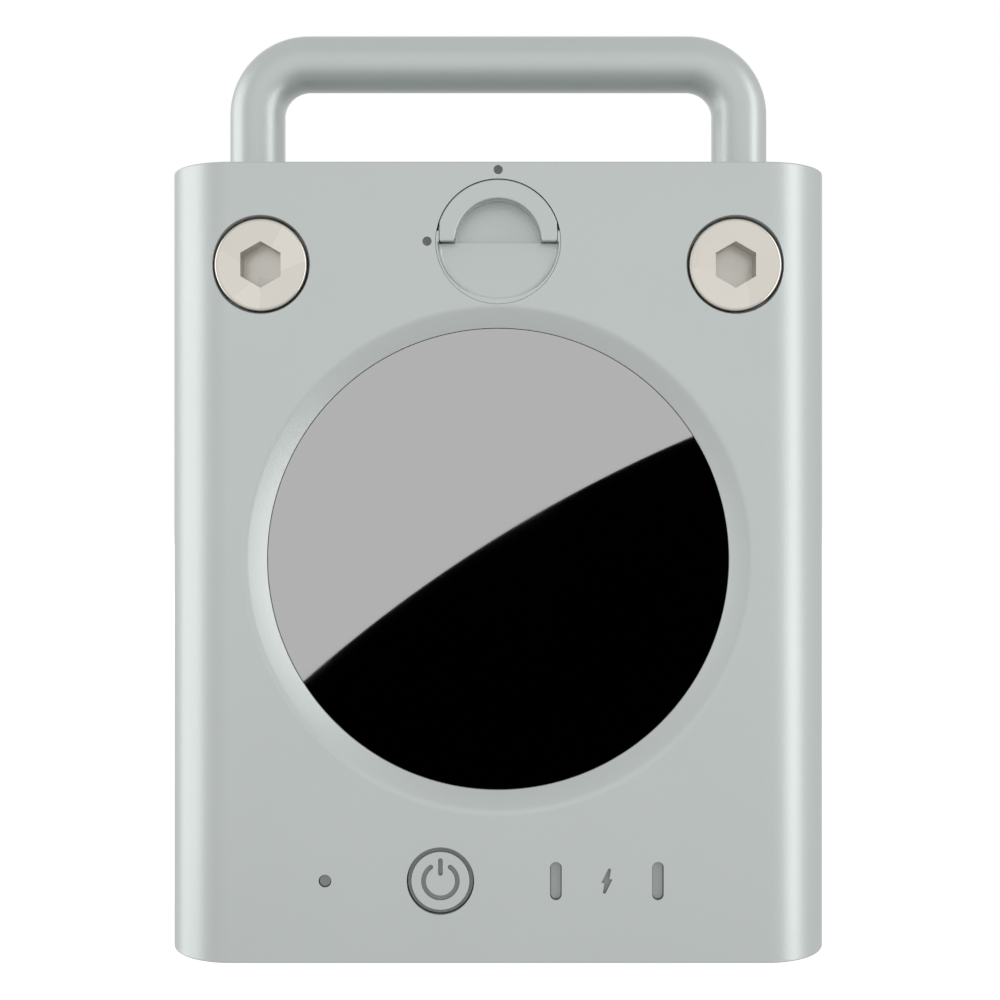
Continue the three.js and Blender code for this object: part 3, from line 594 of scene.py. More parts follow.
# %% Paint shade into the engraved faces
def paint_recess_shade(shape, places, deepest_mm):
    """places holds (middle, inner radius, outer radius) in millimetres round each mark."""
    shallowest_mm = 0.12
    painted_shade_faces = 0
    for face in shape.faces:
        spot = face.calc_center_median()
        depth = (spot.y - FRONT) / MM
        if not shallowest_mm < depth < deepest_mm:
            continue
        for middle, inner, outer in places:
            away = math.hypot(spot.x - middle.x, spot.z - middle.z) / MM
            if inner <= away <= outer:
                # material index 1 carries the painted shade of the recess
                face.material_index = 1
                painted_shade_faces += 1
    print("painted_shade_faces", painted_shade_faces, "faces of the marks")


# %% [markdown]
# ## The housing sleeve
# The real sleeve is a length of aluminium extrusion whose front wall is then milled. The model is made in
# the same order: a block with rounded upright edges, a hollow through it, a turned cutter for the dish
# and then one cutter for each hole. The dish has a soft rim, a shallow cone and a straight wall.

# %% Sizes of the sleeve
PLAN_RADIUS = 15.4 * MM
SIDE_WALL = 3 * MM
FRONT_WALL_MM = 6.5
THROUGH_WALL_MM = FRONT_WALL_MM + 1
PLAN_STEPS = 64
HOLLOW_STEPS = 16
RIM_SOFTNESS = 0.35 * MM
CAP_GAP = 0.3 * MM
cap_low, cap_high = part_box("top_cap")
hollow_low = Vector((cap_low.x - CAP_GAP, cap_low.y - CAP_GAP, sleeve_low.z - SIDE_WALL))
hollow_high = Vector((cap_high.x + CAP_GAP, cap_high.y + CAP_GAP, sleeve_high.z + SIDE_WALL))
pad_radius_mm = half_width_of("charging_glass") / MM
GLASS_GAP_MM = 0.04
print("hollow", [round(v / MM, 1) for v in hollow_high - hollow_low], "mm")


# %% Cutters for the sleeve
def dish_cutter():
    """Its first three corners stand in the open, so only the rim and what is behind it cut."""
    outside = -2
    cone_depth = 2.66
    rim_radius = pad_radius_mm + 4.4
    rim_fillet = 3
    open_radius = rim_radius + 2 * rim_fillet
    wall_radius = pad_radius_mm + GLASS_GAP_MM
    ledge_depth = 5.1
    coil_opening = pad_radius_mm - 4
    return turned([
        (0, outside, 0),
        (open_radius, outside, 0),
        (open_radius, 0, 0),
        (rim_radius, 0, rim_fillet),
        (wall_radius, cone_depth, 0.15),
        (wall_radius, ledge_depth, 0),
        (coil_opening, ledge_depth, 0),
        (coil_opening, THROUGH_WALL_MM, 0),
        (0, THROUGH_WALL_MM, 0),
    ], pad_middle, steps=192)


def flash_cutter(middle, depth_mm):
    """The charging flash: half of its outline, and the same half turned round."""
    leaf = [(0.35, 2.75), (0.9, 2.6), (0.55, 0.45), (1.2, 0.35)]
    outline = leaf + [(-x, -z) for x, z in leaf]
    shape = bmesh.new()
    corners = [shape.verts.new((middle.x + x * MM, FRONT - MM, middle.z + z * MM)) for x, z in outline]
    face = shape.faces.new(corners)
    drawn = bmesh.ops.extrude_face_region(shape, geom=[face])
    bmesh.ops.translate(shape, verts=vertices_of(drawn), vec=(0, (depth_mm + 1) * MM, 0))
    bmesh.ops.recalc_face_normals(shape, faces=shape.faces)
    return shape


# %% Mill the front wall
port_names = ["left", "right"]
port_middles = [middle_of(f"port_plug_{name}") for name in port_names]
screw_middles = {name: middle_of(f"handle_screw_{name}") for name in port_names}
led_middle = middle_of("led_lens")
DIAL_BORE_MM = half_width_of("latch_dial") / MM + 0.05
DIAL_BORE_DEPTH_MM = 7.5
BUTTON_HOLE_MM = 7.3
LED_HOLE_MM = 1.38
SCREW_BORE_MM = half_width_of("handle_screw_left") / MM + 0.3
SCREW_SHANK_HOLE_MM = 6.15
INDEX_DOT_MM = 1.0
FLASH_REACH_MM = 3.2
PORT_WIDTH_MM = 2.5
PORT_HEIGHT_MM = 8.3
PORT_STEP_MM = 1.2
dot_top = dial_middle + Vector((0, 0, 15.5 * MM))
dot_left = dial_middle - Vector((15.4 * MM, 0, 0))
flash_middle = (port_middles[0] + port_middles[1]) / 2


def drilled_dot(middle):
    """A blind hole with the shallow cone that a drill leaves."""
    wall_depth, point_depth = 0.8, 1.3
    return turned([
        (0, -1, 0),
        (INDEX_DOT_MM, -1, 0),
        (INDEX_DOT_MM, wall_depth, 0),
        (0, point_depth, 0),
    ], middle, steps=40)


def screw_bore(middle):
    """A flat-bottomed bore with a steep chamfer at its mouth."""
    mouth_radius = SCREW_BORE_MM + 0.35
    mouth_depth, seat_depth = 0.8, 5
    return turned([
        (0, -1, 0),
        (mouth_radius, -1, 0),
        (mouth_radius, 0, 0),
        (SCREW_BORE_MM, mouth_depth, 0),
        (SCREW_BORE_MM, seat_depth, 0),
        (0, seat_depth, 0),
    ], middle)


def port_cutters(middle):
    """The slot seen from the front, and the wider room for the connector behind it."""
    slot_depth, room_depth = 1.9, 0.9
    slot = upright_pill(middle, PORT_WIDTH_MM * MM, PORT_HEIGHT_MM * MM, -1, slot_depth)
    room = upright_pill(middle, (PORT_WIDTH_MM + PORT_STEP_MM) * MM, (PORT_HEIGHT_MM + PORT_STEP_MM) * MM,
                        room_depth, THROUGH_WALL_MM)
    return [slot, room]


def sleeve_holes():
    cutters = [
        drilled_dot(dot_top),
        drilled_dot(dot_left),
        front_rod(led_middle, LED_HOLE_MM, -1, THROUGH_WALL_MM, 32),
        front_rod(button_middle, BUTTON_HOLE_MM, -1, THROUGH_WALL_MM, 96),
        flash_cutter(flash_middle, 0.5),
    ]
    for middle in screw_middles.values():
        cutters.append(screw_bore(middle))
        cutters.append(front_rod(middle, SCREW_SHANK_HOLE_MM, 1, THROUGH_WALL_MM, 32))
    for middle in port_middles:
        cutters.extend(port_cutters(middle))
    return cutters


def make_sleeve():
    outside = block(sleeve_low, sleeve_high, AXIS_Z, PLAN_RADIUS, PLAN_STEPS)
    rims = [e for e in outside.edges if len({round(v.co.z, 6) for v in e.verts}) == 1
            and e.calc_face_angle(0) > 1]
    bmesh.ops.bevel(outside, geom=rims, offset=RIM_SOFTNESS, segments=3, profile=0.5,
                    affect="EDGES", material=-1)
    inside = block(hollow_low, hollow_high, AXIS_Z, PLAN_RADIUS - SIDE_WALL, HOLLOW_STEPS)
    dial_bore = front_rod(dial_middle, DIAL_BORE_MM, -1, DIAL_BORE_DEPTH_MM, 96)
    shape = combined(outside, [inside, dish_cutter(), dial_bore, *sleeve_holes()])
    dot_reach = INDEX_DOT_MM + 0.05
    # the dots and the flash get the painted shade of their recesses
    marks = [(dot_top, 0, dot_reach), (dot_left, 0, dot_reach), (flash_middle, 0, FLASH_REACH_MM)]
    paint_recess_shade(shape, marks, deepest_mm=1.6)
    finished("sleeve_shell", shape, housing_finish, "housing", ["housing_sleeve"], painted_shade_finish=recess_shade_finish)


make_sleeve()

# %% [markdown]
# ## End caps, feet and grommets
# The caps drop into the ends of the sleeve and leave a fine shadow line. Rubber feet sit in shallow
# recesses of the bottom cap. A rubber grommet with a rounded lip seals each handle leg at the top cap.


# %% End caps
LEG_HOLE_MM = 7.9
FOOT_RECESS_MM = 6.1
FOOT_RECESS_DEPTH_MM = 0.8
BASE_HEAD_HOLE_MM = 3.1
BASE_HEAD_DEPTH_MM = 1.7
BASE_SHANK_HOLE_MM = 1.7
leg_middles = [middle_of(f"leg_grommet_{name}") for name in port_names]
foot_names = [f"foot_{number}" for number in range(1, 5)]
base_screw_names = [f"base_screw_{number}" for number in range(1, 5)]


def make_cap(node, holes, soften):
    low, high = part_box(node)
    plate = block(low, high, AXIS_Z, PLAN_RADIUS - SIDE_WALL - CAP_GAP, HOLLOW_STEPS)
    finished(f"{node}_plate", combined(plate, holes), housing_finish, "housing", [node], soften=soften)


def top_cap_holes():
    low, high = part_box("top_cap")
    return [upright_rod(middle, LEG_HOLE_MM, low.z - MM, high.z + MM) for middle in leg_middles]


def bottom_cap_holes():
    low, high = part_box("bottom_cap")
    below = low.z - MM
    holes = [upright_rod(middle_of(name), FOOT_RECESS_MM, below, low.z + FOOT_RECESS_DEPTH_MM * MM)
             for name in foot_names]
    for name in base_screw_names:
        middle = middle_of(name)
        holes.append(upright_rod(middle, BASE_HEAD_HOLE_MM, below, low.z + BASE_HEAD_DEPTH_MM * MM, 32))
        holes.append(upright_rod(middle, BASE_SHANK_HOLE_MM, low.z + MM, high.z + MM, 24))
    return holes


make_cap("top_cap", top_cap_holes(), soften=0.25)
make_cap("bottom_cap", bottom_cap_holes(), soften=0.2)


# %% [markdown]
# Feet, grommets and base screws are turned like the front parts, but about an upright line. Each outline
# below starts at the bottom of the part and gives a radius, a height and a fillet for every corner.


# %% Feet and grommets
def make_feet():
    """A rubber disc with a shallow round hollow underneath."""
    radius, hollow_radius, ridge_radius, hollow_depth = 6, 3.6, 4.2, 0.25
    for name in foot_names:
        height = height_of(name)
        foot = stood_up([
            (0, hollow_depth, 0),
            (hollow_radius, hollow_depth, 0.1),
            (ridge_radius, 0, 0.2),
            (radius, 0, 0.6),
            (radius, height, 0),
            (0, height, 0),
        ], middle_of(name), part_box(name)[0].z)
        finished(f"{name}_pad", foot, rubber_finish, "housing", [name])


def make_grommets():
    """A sleeve round the handle leg, with a lip that lies on the cap."""
    bore, neck, lip, lip_height = 6.65, 7.8, 8.6, 0.9
    for name in port_names:
        node = f"leg_grommet_{name}"
        height = height_of(node)
        seat = height - lip_height
        ring = stood_up([
            (bore, 0, 0.1),
            (neck, 0, 0.1),
            (neck, seat, 0),
            (lip, seat, 0.1),
            (lip, height, 0.5),
            (bore, height, 0.35),
        ], middle_of(node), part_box(node)[0].z, closed=True)
        finished(f"grommet_{name}", ring, rubber_finish, "housing", [node])


make_feet()
make_grommets()


# %% Base screws
def make_base_screws():
    """A pan head with a six-sided socket, on a shank with a short lead at its end."""
    head, head_height, shank, tip, lead = 2.8, 1.5, 1.4, 0.9, 0.5
    socket_flats, socket_depth = 2.0, 1.0
    for name in base_screw_names:
        foot_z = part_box(name)[0].z
        middle = middle_of(name)
        length = height_of(name)
        body = stood_up([
            (0, 0, 0),
            (head, 0, 0.3),
            (head, head_height, 0.1),
            (shank, head_height, 0),
            (shank, length - lead, 0),
            (tip, length, 0),
            (0, length, 0),
        ], middle, foot_z, steps=40)
        key_radius = socket_flats / math.sqrt(3)
        key = upright_rod(middle, key_radius, foot_z - MM, foot_z + socket_depth * MM, 6)
        finished(f"{name}_turned", combined(body, [key]), steel_finish, "housing", [name], soften=0.05)


make_base_screws()

# %% [markdown]
# ## The carry handle
# A bender makes the real handle from one straight bar: up, a quarter bend, across, a quarter bend and
# down. The same moves work here on a ring of edges. Extruding makes the straight stretches and spinning
# about the bend's centre makes the curves, so the bar keeps its round section all the way.

# %% Bend the bar
BEND_RADIUS = 12.5 * MM
handle_low, handle_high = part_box("carry_handle")
BAR_RADIUS = (handle_high.y - handle_low.y) / 2
leg_x = handle_high.x - BAR_RADIUS
bar_z = handle_high.z - BAR_RADIUS


def straight(shape, ring, way):
    drawn = bmesh.ops.extrude_edge_only(shape, edges=ring)
    bmesh.ops.translate(shape, verts=vertices_of(drawn), vec=way)
    return [e for e in edges_of(drawn) if all(v in set(vertices_of(drawn)) for v in e.verts)]


def quarter_bend(shape, ring, centre, steps=24):
    bent = bmesh.ops.spin(shape, geom=ring, cent=centre, axis=AXIS_Y, angle=math.pi / 2, steps=steps)
    return edges_of(bent, "geom_last")


def make_handle():
    shape = bmesh.new()
    place = Matrix.Translation((-leg_x, 0, handle_low.z))
    bmesh.ops.create_circle(shape, cap_ends=False, segments=56, radius=BAR_RADIUS, matrix=place)
    ring = list(shape.edges)
    ring = straight(shape, ring, (0, 0, bar_z - BEND_RADIUS - handle_low.z))
    ring = quarter_bend(shape, ring, (-leg_x + BEND_RADIUS, 0, bar_z - BEND_RADIUS))
    ring = straight(shape, ring, (2 * (leg_x - BEND_RADIUS), 0, 0))
    ring = quarter_bend(shape, ring, (leg_x - BEND_RADIUS, 0, bar_z - BEND_RADIUS))
    straight(shape, ring, (0, 0, handle_low.z - bar_z + BEND_RADIUS))
    bmesh.ops.remove_doubles(shape, verts=shape.verts, dist=0.001 * MM)
    bmesh.ops.holes_fill(shape, edges=[e for e in shape.edges if e.is_boundary], sides=0)
    bmesh.ops.recalc_face_normals(shape, faces=shape.faces)
    return finished("handle_bar", shape, housing_finish, "housing", ["carry_handle"])


handle_bar = make_handle()
bar_height_mm = handle_bar.dimensions.z / MM
print("bar", round(BAR_RADIUS * 2 / MM, 2), "mm thick and", round(bar_height_mm, 1), "mm from end to top")

# %% [markdown]
# ## The big socket screws
# Each head is turned with a small bright chamfer and has a six-sided socket, cut with its corners up and
# down. The forged socket is duller than the turned face round it: rougher, and darker as painted shade of the
# hollow.


# %% Screw heads and sockets
def make_handle_screws():
    head_height, head_fillet = 4.7, 0.75
    shank, lead = 5.85, 1
    socket_flats, socket_depth, socket_reach = 8.7, 4.4, 4.9
    for name, middle in screw_middles.items():
        node = f"handle_screw_{name}"
        top, end = depths_of(node)
        radius = half_width_of(node) / MM
        seat = top + head_height
        body = turned([
            (0, top, 0),
            (radius, top, head_fillet),
            (radius, seat, 0.15),
            (shank, seat, 0.2),
            (shank, end - lead, 0),
            (shank - lead, end, 0),
            (0, end, 0),
        ], middle)
        key = front_rod(middle, socket_flats / math.sqrt(3), -1, top + socket_depth, 6)
        shape = combined(body, [key])
        # the socket's faces get the darker finish, which is painted shade for the hollow
        paint_recess_shade(shape, [(middle, 0, socket_reach)], deepest_mm=4.8)
        finish = turned_nickel(f"turned_nickel_{name}", middle)
        finished(f"socket_screw_{name}", shape, finish, "housing", [node], soften=0.06, painted_shade_finish=socket_shade_finish)


# rougher nickel for the socket, with a darker colour that is painted shade for its hollow
socket_shade_finish = turned_nickel("forged_socket_painted_shade", Vector((0, 0, 0)), (0.5, 0.48, 0.44), 0.34)
make_handle_screws()

# %% [markdown]
# ## The charging pad
# A flat disc of glass with a polished edge that is rounded just enough not to be sharp. It lies a little
# below the mouth of the dish and fits it closely. The gasket under it keeps its CAD shape.


# %% Glass
def make_pad():
    top, back = depths_of("charging_glass")
    glass = turned([
        (0, top, 0),
        (pad_radius_mm, top, 0.08),
        (pad_radius_mm, back, 0.2),
        (0, back, 0),
    ], pad_middle, steps=192)
    return finished("pad_glass", glass, glass_finish, "housing", ["charging_glass"])


pad = make_pad()

# %% [markdown]
# ## The quarter-turn lock
# The dial is milled from a short round bar: a seat for the half ring, a half-round finger pocket, a
# sloping lower half that leads a fingertip in, and a round hollow for each end of the ring. The ring is
# half a turn of a flat section with softened edges. Each end stops just past the pivot line, and the
# hollow behind it is wide enough for its corners to swing round. Cheeks on the dial carry its two pins.

# %% Sizes of the lock
ring_pivot = joint_place("latch_ring_fold")
dial_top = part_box("latch_dial")[1].z
DIAL_RADIUS_MM = half_width_of("latch_dial") / MM
POCKET_RADIUS_MM = 9.35
RING_RADIUS_MM = DIAL_RADIUS_MM - 0.06
RING_HALF_WIDTH_MM = DIAL_RADIUS_MM - 0.75
RING_BACK_MM = depths_of("latch_bail")[1]
RING_SINK_MM = 0.05
PIN_MM = 0.6
END_DROP_MM = 1.2
END_SWING_MM = 1.62
CHEEK_RISE_MM = 2.3
SEAT_MM = 2.6
RAMP_MM = 2.0
POCKET_MM = 5.0
print("ring pivot", [round(v / MM, 2) for v in ring_pivot], "mm")


# %% Mill the dial
def side_rod(radius_mm, x0_mm, x1_mm, sides=32):
    """A rod along X on the ring's pivot line."""
    return rod((x0_mm * MM, ring_pivot.y, ring_pivot.z), (x1_mm * MM, ring_pivot.y, ring_pivot.z),
               radius_mm * MM, sides)


def halved(shape, kept_side):
    """Keeps the half of a shape above the dial's middle (1) or below it (-1)."""
    cutting = bmesh.ops.bisect_plane(shape, geom=[*shape.verts, *shape.edges, *shape.faces],
                                     plane_co=dial_middle, plane_no=(0, 0, -kept_side), clear_outer=True)
    bmesh.ops.holes_fill(shape, edges=edges_of(cutting, "geom_cut"), sides=0)
    bmesh.ops.recalc_face_normals(shape, faces=shape.faces)
    return shape


def ramp_cutter():
    """A flat-bottomed cutter with a round corner, leant so that it cuts deepest at the straight edge."""
    land = 0.4
    corner = 1.1
    foot_depth = 0.1
    outside = -3
    reach = DIAL_RADIUS_MM - land
    lean = (RAMP_MM - foot_depth) / reach
    shape = turned([
        (0, outside, 0),
        (reach, outside, 0),
        (reach, RAMP_MM, corner),
        (0, RAMP_MM, 0),
    ], dial_middle)
    for vertex in shape.verts:
        vertex.co.y += lean * (vertex.co.z - dial_middle.z)
    return halved(shape, -1)


def dial_body():
    """The dial, its threaded neck and the thin end that the tongue sits on."""
    face, back, neck_end, thread_end, tip_end = 0.1, 6.2, 12.6, 15, 18
    neck, thread, tip = 4, 3, 2.6
    return turned([
        (0, face, 0),
        (DIAL_RADIUS_MM, face, 0.08),
        (DIAL_RADIUS_MM, back, 0.1),
        (neck, back, 0),
        (neck, neck_end, 0),
        (thread, neck_end, 0),
        (thread, thread_end, 0),
        (tip, thread_end, 0),
        (tip, tip_end, 0),
        (0, tip_end, 0),
    ], dial_middle)


def make_dial():
    clear = DIAL_RADIUS_MM + 1
    cheek = RING_HALF_WIDTH_MM + 0.06
    inner = POCKET_RADIUS_MM - 0.1
    seat_back = FRONT + SEAT_MM * MM
    cheek_top = dial_middle.z + CHEEK_RISE_MM * MM
    top = dial_middle.z + clear * MM
    cutters = [
        block((-cheek * MM, FRONT - MM, dial_middle.z), (cheek * MM, seat_back, top)),
        block((-clear * MM, FRONT - MM, cheek_top), (clear * MM, seat_back, top)),
        halved(front_rod(dial_middle, POCKET_RADIUS_MM, -1, POCKET_MM, 96), 1),
        ramp_cutter(),
        side_rod(PIN_MM + 0.1, -clear, clear),
        side_rod(END_SWING_MM, inner, cheek),
        side_rod(END_SWING_MM, -cheek, -inner),
    ]
    shape = combined(dial_body(), cutters)
    finished("lock_dial", shape, housing_finish, "latch", ["latch_dial"], soften=0.08)


make_dial()


# %% Spin and trim the half ring
def make_half_ring():
    shape = bmesh.new()
    section = [
        (POCKET_RADIUS_MM, RING_SINK_MM),
        (RING_RADIUS_MM, RING_SINK_MM),
        (RING_RADIUS_MM, RING_BACK_MM),
        (POCKET_RADIUS_MM, RING_BACK_MM),
    ]
    corners = [shape.verts.new((r * MM, FRONT + depth * MM, dial_middle.z)) for r, depth in section]
    face = shape.faces.new(corners)
    bmesh.ops.spin(shape, geom=[face], cent=dial_middle, axis=(0, -1, 0), angle=math.pi, steps=72)
    bmesh.ops.remove_doubles(shape, verts=shape.verts, dist=0.001 * MM)
    bmesh.ops.recalc_face_normals(shape, faces=shape.faces)
    half = RING_HALF_WIDTH_MM * MM
    end_z = ring_pivot.z - END_DROP_MM * MM
    trim = block((-half, FRONT - MM, end_z), (half, FRONT + 4 * MM, dial_top + MM))
    shape = combined(shape, [trim], "INTERSECT")
    pin_end = DIAL_RADIUS_MM - 0.1
    pins = []
    for side in (-1, 1):
        inner, outer = sorted((side * (RING_HALF_WIDTH_MM - 1), side * pin_end))
        pins.append(side_rod(PIN_MM, inner, outer))
    shape = combined(shape, pins, "UNION")
    finished("lock_half_ring", shape, housing_finish, "latch_ring", ["latch_bail"], soften=0.35)


make_half_ring()

# %% [markdown]
# ## The controls
# The power button is a stepped cap: the groove round it is a real gap with the wider guide as its floor,
# and the power mark is milled into its face. The status light is a smoked light pipe. The dust plugs are
# pills of grey silicone that sit a little below the face.

# %% Power button
BUTTON_CAP_MM = 6.3
BUTTON_GUIDE_MM = 7.1
BUTTON_GROOVE_MM = 1


def mark_cutters():
    """The power mark: an open ring with round ends, and a bar in its gap."""
    ring_radius = 3.66
    stroke = 1.0
    gap = math.radians(35)
    depth = 0.6
    bar_foot, bar_top = 1.14, 4.89
    inner, outer = ring_radius - stroke / 2, ring_radius + stroke / 2
    ring = bmesh.new()
    corners = [(inner, -1), (outer, -1), (outer, depth), (inner, depth)]
    made = [ring.verts.new((button_middle.x + r * MM, FRONT + d * MM, button_middle.z)) for r, d in corners]
    face = ring.faces.new(made)
    first = Matrix.Rotation(-(math.pi / 2 + gap), 4, "Y")
    bmesh.ops.transform(ring, matrix=first, space=Matrix.Translation(-button_middle), verts=ring.verts)
    bmesh.ops.spin(ring, geom=[face], cent=button_middle, axis=-AXIS_Y, angle=math.tau - 2 * gap, steps=64)
    bmesh.ops.recalc_face_normals(ring, faces=ring.faces)
    cutters = [ring]
    for side in (-1, 1):
        end = Vector((side * math.sin(gap), 0, math.cos(gap))) * ring_radius * MM
        cutters.append(front_rod(button_middle + end, stroke / 2, -1, depth, 24))
    bar_middle = button_middle + Vector((0, 0, (bar_top + bar_foot) / 2 * MM))
    cutters.append(upright_pill(bar_middle, stroke * MM, (bar_top - bar_foot) * MM, -1, depth))
    return cutters


def make_button():
    """A cap in front, a wider guide and flange behind the wall, and a nose that presses the switch."""
    face, flange, flange_back, nose_end = 0.05, FRONT_WALL_MM + 0.3, 8, 9.7
    flange_radius, nose = 8.4, 1.5
    body = turned([
        (0, face, 0),
        (BUTTON_CAP_MM, face, 0.15),
        (BUTTON_CAP_MM, BUTTON_GROOVE_MM, 0),
        (BUTTON_GUIDE_MM, BUTTON_GROOVE_MM, 0.05),
        (BUTTON_GUIDE_MM, flange, 0),
        (flange_radius, flange, 0.1),
        (flange_radius, flange_back, 0.1),
        (nose, flange_back, 0),
        (nose, nose_end, 0.2),
        (0, nose_end, 0),
    ], button_middle)
    shape = combined(body, mark_cutters())
    # the power mark and the groove round the cap get the painted shade of their recesses
    marks = [(button_middle, 0, 5), (button_middle, BUTTON_CAP_MM - 0.02, BUTTON_GUIDE_MM)]
    paint_recess_shade(shape, marks, deepest_mm=BUTTON_GROOVE_MM + 0.05)
    finished("power_button_cap", shape, housing_finish, "button", ["power_button"], soften=0.05,
             painted_shade_finish=recess_shade_finish)


make_button()


# %% Status light and dust plugs
def make_light_pipe():
    """A rod with a collar behind the wall. Its face is a shallow hollow cone."""
    radius, collar = 1.25, 2.25
    rim, centre, collar_front, collar_back, end = 0.5, 0.75, 6.6, 7.5, 12.4
    lens = turned([
        (0, centre, 0),
        (radius, rim, 0.12),
        (radius, collar_front, 0),
        (collar, collar_front, 0.1),
        (collar, collar_back, 0.1),
        (radius, collar_back, 0),
        (radius, end, 0),
        (0, end, 0),
    ], led_middle, steps=48)
    finished("status_light_pipe", lens, light_pipe_finish, "housing", ["led_lens"])


def make_plugs():
    """A pill with a slot in its back that fits over the tongue of the connector."""
    half_slot = Vector((0.55, 0, 3.55)) * MM
    slot_front, slot_back = 1.6, 8
    for name, middle in zip(port_names, port_middles):
        node = f"port_plug_{name}"
        low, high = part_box(node)
        plug = upright_pill(middle, high.x - low.x, high.z - low.z, *depths_of(node))
        slot_low, slot_high = middle - half_slot, middle + half_slot
        slot_low.y = FRONT + slot_front * MM
        slot_high.y = FRONT + slot_back * MM
        shape = combined(plug, [block(slot_low, slot_high)])
        finished(f"dust_plug_{name}", shape, silicone_finish, f"plug_{name}", [node], soften=0.12)


make_light_pipe()
make_plugs()

# %% [markdown]
# ## Studio
# The object stands on a plain pale floor in an even white surround. The surround and the floor are seen
# by the camera only, so they never fill the metal with light. What lights the metal is an even glow that
# the camera can't see, and a set of soft boxes: a tall strip at each side draws the bright line down each
# rounded edge.


# %% Floor and surround
SURROUND_RADIUS = 6
FLOOR_RADIUS = 5.9
FADE_REACH = 0.6
FILL_RADIUS = 3
FILL_GLOW = 0.79


def glowing(name, strength):
    material = bpy.data.materials.new(name)
    material.use_nodes = True
    nodes = material.node_tree.nodes
    nodes.clear()
    light = nodes.new("ShaderNodeEmission")
    light.inputs["Color"].default_value = (1, 1, 1, 1)
    light.inputs["Strength"].default_value = strength
    output = nodes.new("ShaderNodeOutputMaterial")
    material.node_tree.links.new(light.outputs["Emission"], output.inputs["Surface"])
    return material


def seen_only_by_camera(thing):
    thing.visible_diffuse = False
    thing.visible_glossy = False
    thing.visible_transmission = False
    thing.visible_shadow = False


def make_surround():
    shape = bmesh.new()
    bmesh.ops.create_uvsphere(shape, u_segments=48, v_segments=24, radius=SURROUND_RADIUS)
    dome = as_object(shape, "studio_surround")
    dome.data.materials.append(glowing("white_surround", 1.0))
    seen_only_by_camera(dome)
    dome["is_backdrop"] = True


def make_floor():
    """The glow rises with distance, so the far floor runs into the surround with no line between them."""
    shape = bmesh.new()
    bmesh.ops.create_circle(shape, cap_ends=True, segments=96, radius=FLOOR_RADIUS)
    floor = as_object(shape, "studio_floor")
    material, shader = new_finish("pale_floor", (0.8, 0.8, 0.8), 0.9, specular=0.1)
    shader.inputs["Emission Color"].default_value = (1, 1, 1, 1)
    fade = texture(material, "ShaderNodeTexGradient", None, stretch=(FADE_REACH, FADE_REACH, FADE_REACH),
                   gradient_type="SPHERICAL")
    feed(shader, "Emission Strength", spread(material, fade.outputs["Fac"], 1.0, 0.8))
    floor.data.materials.append(material)
    floor.visible_diffuse = False
    floor.visible_glossy = False
    floor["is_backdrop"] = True


def make_fill():
    """A large even glow that only fills the shadows. The pad doesn't mirror it."""
    shape = bmesh.new()
    bmesh.ops.create_icosphere(shape, subdivisions=4, radius=FILL_RADIUS)
    fill = as_object(shape, "studio_fill")
    fill.data.materials.append(glowing("fill_glow", FILL_GLOW))
    fill.visible_camera = False
    fill.visible_shadow = False
    fill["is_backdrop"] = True
    return fill


make_surround()
make_floor()
fill = make_fill()
world = bpy.data.worlds.new("dark_world")
world.use_nodes = True
world.node_tree.nodes["Background"].inputs["Color"].default_value = (0, 0, 0, 1)
bpy.context.scene.world = world


# %% Soft boxes
studio_middle = (sleeve_low + sleeve_high) / 2


def soft_box(name, azimuth, elevation, distance, width, height, radiance):
    """A rectangular light that faces the object. Azimuth 0 is in front and 90 is on the right.
    radiance is how bright the panel looks, so that a bigger panel gives more light."""
    data = bpy.data.lights.new(name, "AREA")
    data.shape = "RECTANGLE"
    data.size = width
    data.size_y = height
    data.energy = radiance * width * height * math.pi
    light = bpy.data.objects.new(name, data)
    bpy.context.scene.collection.objects.link(light)
    turn, lift = math.radians(azimuth), math.radians(elevation)
    way = Vector((math.sin(turn) * math.cos(lift), -math.cos(turn) * math.cos(lift), math.sin(lift)))
    light.location = studio_middle + way * distance
    light.rotation_euler = way.to_track_quat("Z", "Y").to_euler()
    light.visible_camera = False
    return light


# name: azimuth and elevation in degrees, distance, width and height in metres, radiance
box_settings = {
    "front_box": (0, 10, 1.2, 1.3, 1.3, 0.25),
    "left_strip": (-98, 5, 0.8, 0.35, 1.1, 1.17),
    "left_front_strip": (-72, 5, 0.9, 0.3, 1.1, 1.37),
    "right_strip": (60, 5, 0.8, 0.3, 1.1, 1.78),
    "right_side_box": (100, 5, 1.0, 0.6, 1.1, 0.13),
    "top_box": (0, 80, 0.9, 1.0, 0.8, 0.06),
    "back_box": (180, 25, 1.2, 1.4, 1.0, 0.4),
}
boxes = {name: soft_box(name, *settings) for name, settings in box_settings.items()}
print("soft boxes:", ", ".join(boxes))

# %% [markdown]
# ## The reflection in the pad
# Black glass shows the studio as a mirror does. A pale card with a long curved edge stands behind the
# camera, where the pad mirrors it, and light linking lets only the glass see it. The front box is linked
# away from the glass, so the rest of the pad stays black. The card's material also lets light through, so
# that it doesn't hide the studio from the other parts.

# %% Camera
CAMERA_DISTANCE = 300.7 * MM
EYE_HEIGHT = 100.37 * MM
EYE_SHIFT = 0.4 * MM
camera_data = bpy.data.cameras.new("camera")
camera_data.lens = 50
camera_data.sensor_width = 36
camera = bpy.data.objects.new("camera", camera_data)
bpy.context.scene.collection.objects.link(camera)
camera.location = (EYE_SHIFT, FRONT - CAMERA_DISTANCE, sleeve_low.z + EYE_HEIGHT)
camera.rotation_euler = (math.pi / 2, 0, 0)
bpy.context.scene.camera = camera


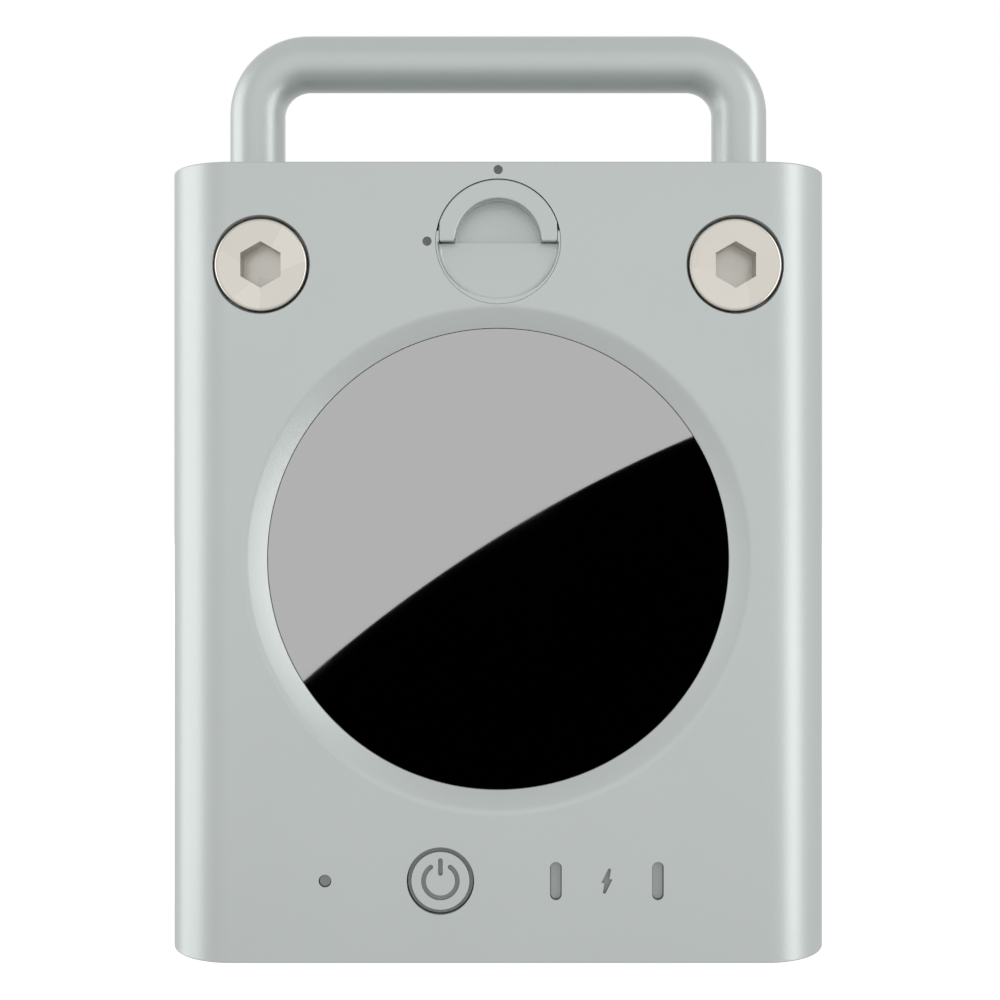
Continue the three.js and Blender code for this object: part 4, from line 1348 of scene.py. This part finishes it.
# %% Card that only the glass reflects
def make_card():
    """The curved edge crosses the middle of the pad at edge_tilt and bulges up and to the left."""
    edge_tilt = math.radians(32.2)
    bulge = 4.1 * MM
    edge_overshoot = 2.2
    card_depth = 4
    card_glow = 11.0
    times_camera_distance = 2.5
    half_chord = pad_radius_mm * MM
    edge_radius = (half_chord ** 2 + bulge ** 2) / (2 * bulge)
    pad_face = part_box("charging_glass")[0].y
    to_camera = pad_face - camera.location.y
    card_distance = times_camera_distance * to_camera
    growth = 1 + card_distance / to_camera
    along = Vector((math.cos(edge_tilt), 0, math.sin(edge_tilt)))
    outward = Vector((-math.sin(edge_tilt), 0, math.cos(edge_tilt)))

    def on_card(point):
        """Where the card must be for the glass to mirror it to the camera at this point."""
        offset = Vector((point.x - camera.location.x, 0, point.z - camera.location.z)) * growth
        return Vector((camera.location.x + offset.x, pad_face - card_distance, camera.location.z + offset.z))

    pad_point = Vector((pad_middle.x, pad_face, pad_middle.z))
    turning_point = pad_point + outward * (bulge - edge_radius)
    reach = math.asin(min(1, edge_overshoot * half_chord / edge_radius))
    start = turning_point + (outward * math.cos(reach) + along * math.sin(reach)) * edge_radius
    shape = bmesh.new()
    first = shape.verts.new(on_card(start))
    bmesh.ops.spin(shape, geom=[first], cent=on_card(turning_point), axis=-AXIS_Y, angle=2 * reach, steps=96)
    pulled = bmesh.ops.extrude_edge_only(shape, edges=shape.edges)
    bmesh.ops.translate(shape, verts=vertices_of(pulled), vec=outward * card_depth * half_chord * growth)
    bmesh.ops.recalc_face_normals(shape, faces=shape.faces)
    card = as_object(shape, "studio_card")
    glow = glowing("card_glow", card_glow)
    nodes = glow.node_tree.nodes
    both = nodes.new("ShaderNodeAddShader")
    glow.node_tree.links.new(nodes["Emission"].outputs["Emission"], both.inputs[0])
    glow.node_tree.links.new(nodes.new("ShaderNodeBsdfTransparent").outputs["BSDF"], both.inputs[1])
    glow.node_tree.links.new(both.outputs["Shader"], nodes["Material Output"].inputs["Surface"])
    card.data.materials.append(glow)
    card.visible_camera = False
    card.visible_diffuse = False
    card.visible_shadow = False
    card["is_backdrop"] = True
    return card


def link_only(light, thing, state):
    group = bpy.data.collections.new(f"{light.name}_{state.lower()}")
    group.objects.link(thing)
    light.light_linking.receiver_collection = group
    group.collection_objects[0].light_linking.link_state = state


card = make_card()
link_only(card, pad, "INCLUDE")
for light in [fill, boxes["front_box"]]:
    link_only(light, pad, "EXCLUDE")
print("card linked to", pad.name)

# %% [markdown]
# ## Colour and finish
# The Standard view transform keeps white at white and shows the tones that the lights were set for.

# %% View settings and the closing lines
bpy.context.scene.view_settings.view_transform = "Standard"
visual_low, visual_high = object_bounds()
growth_mm = [(a - b) / MM for a, b in zip(visual_high - visual_low, cad_high - cad_low)]
print("grew by", [round(part, 2) for part in growth_mm], "mm")
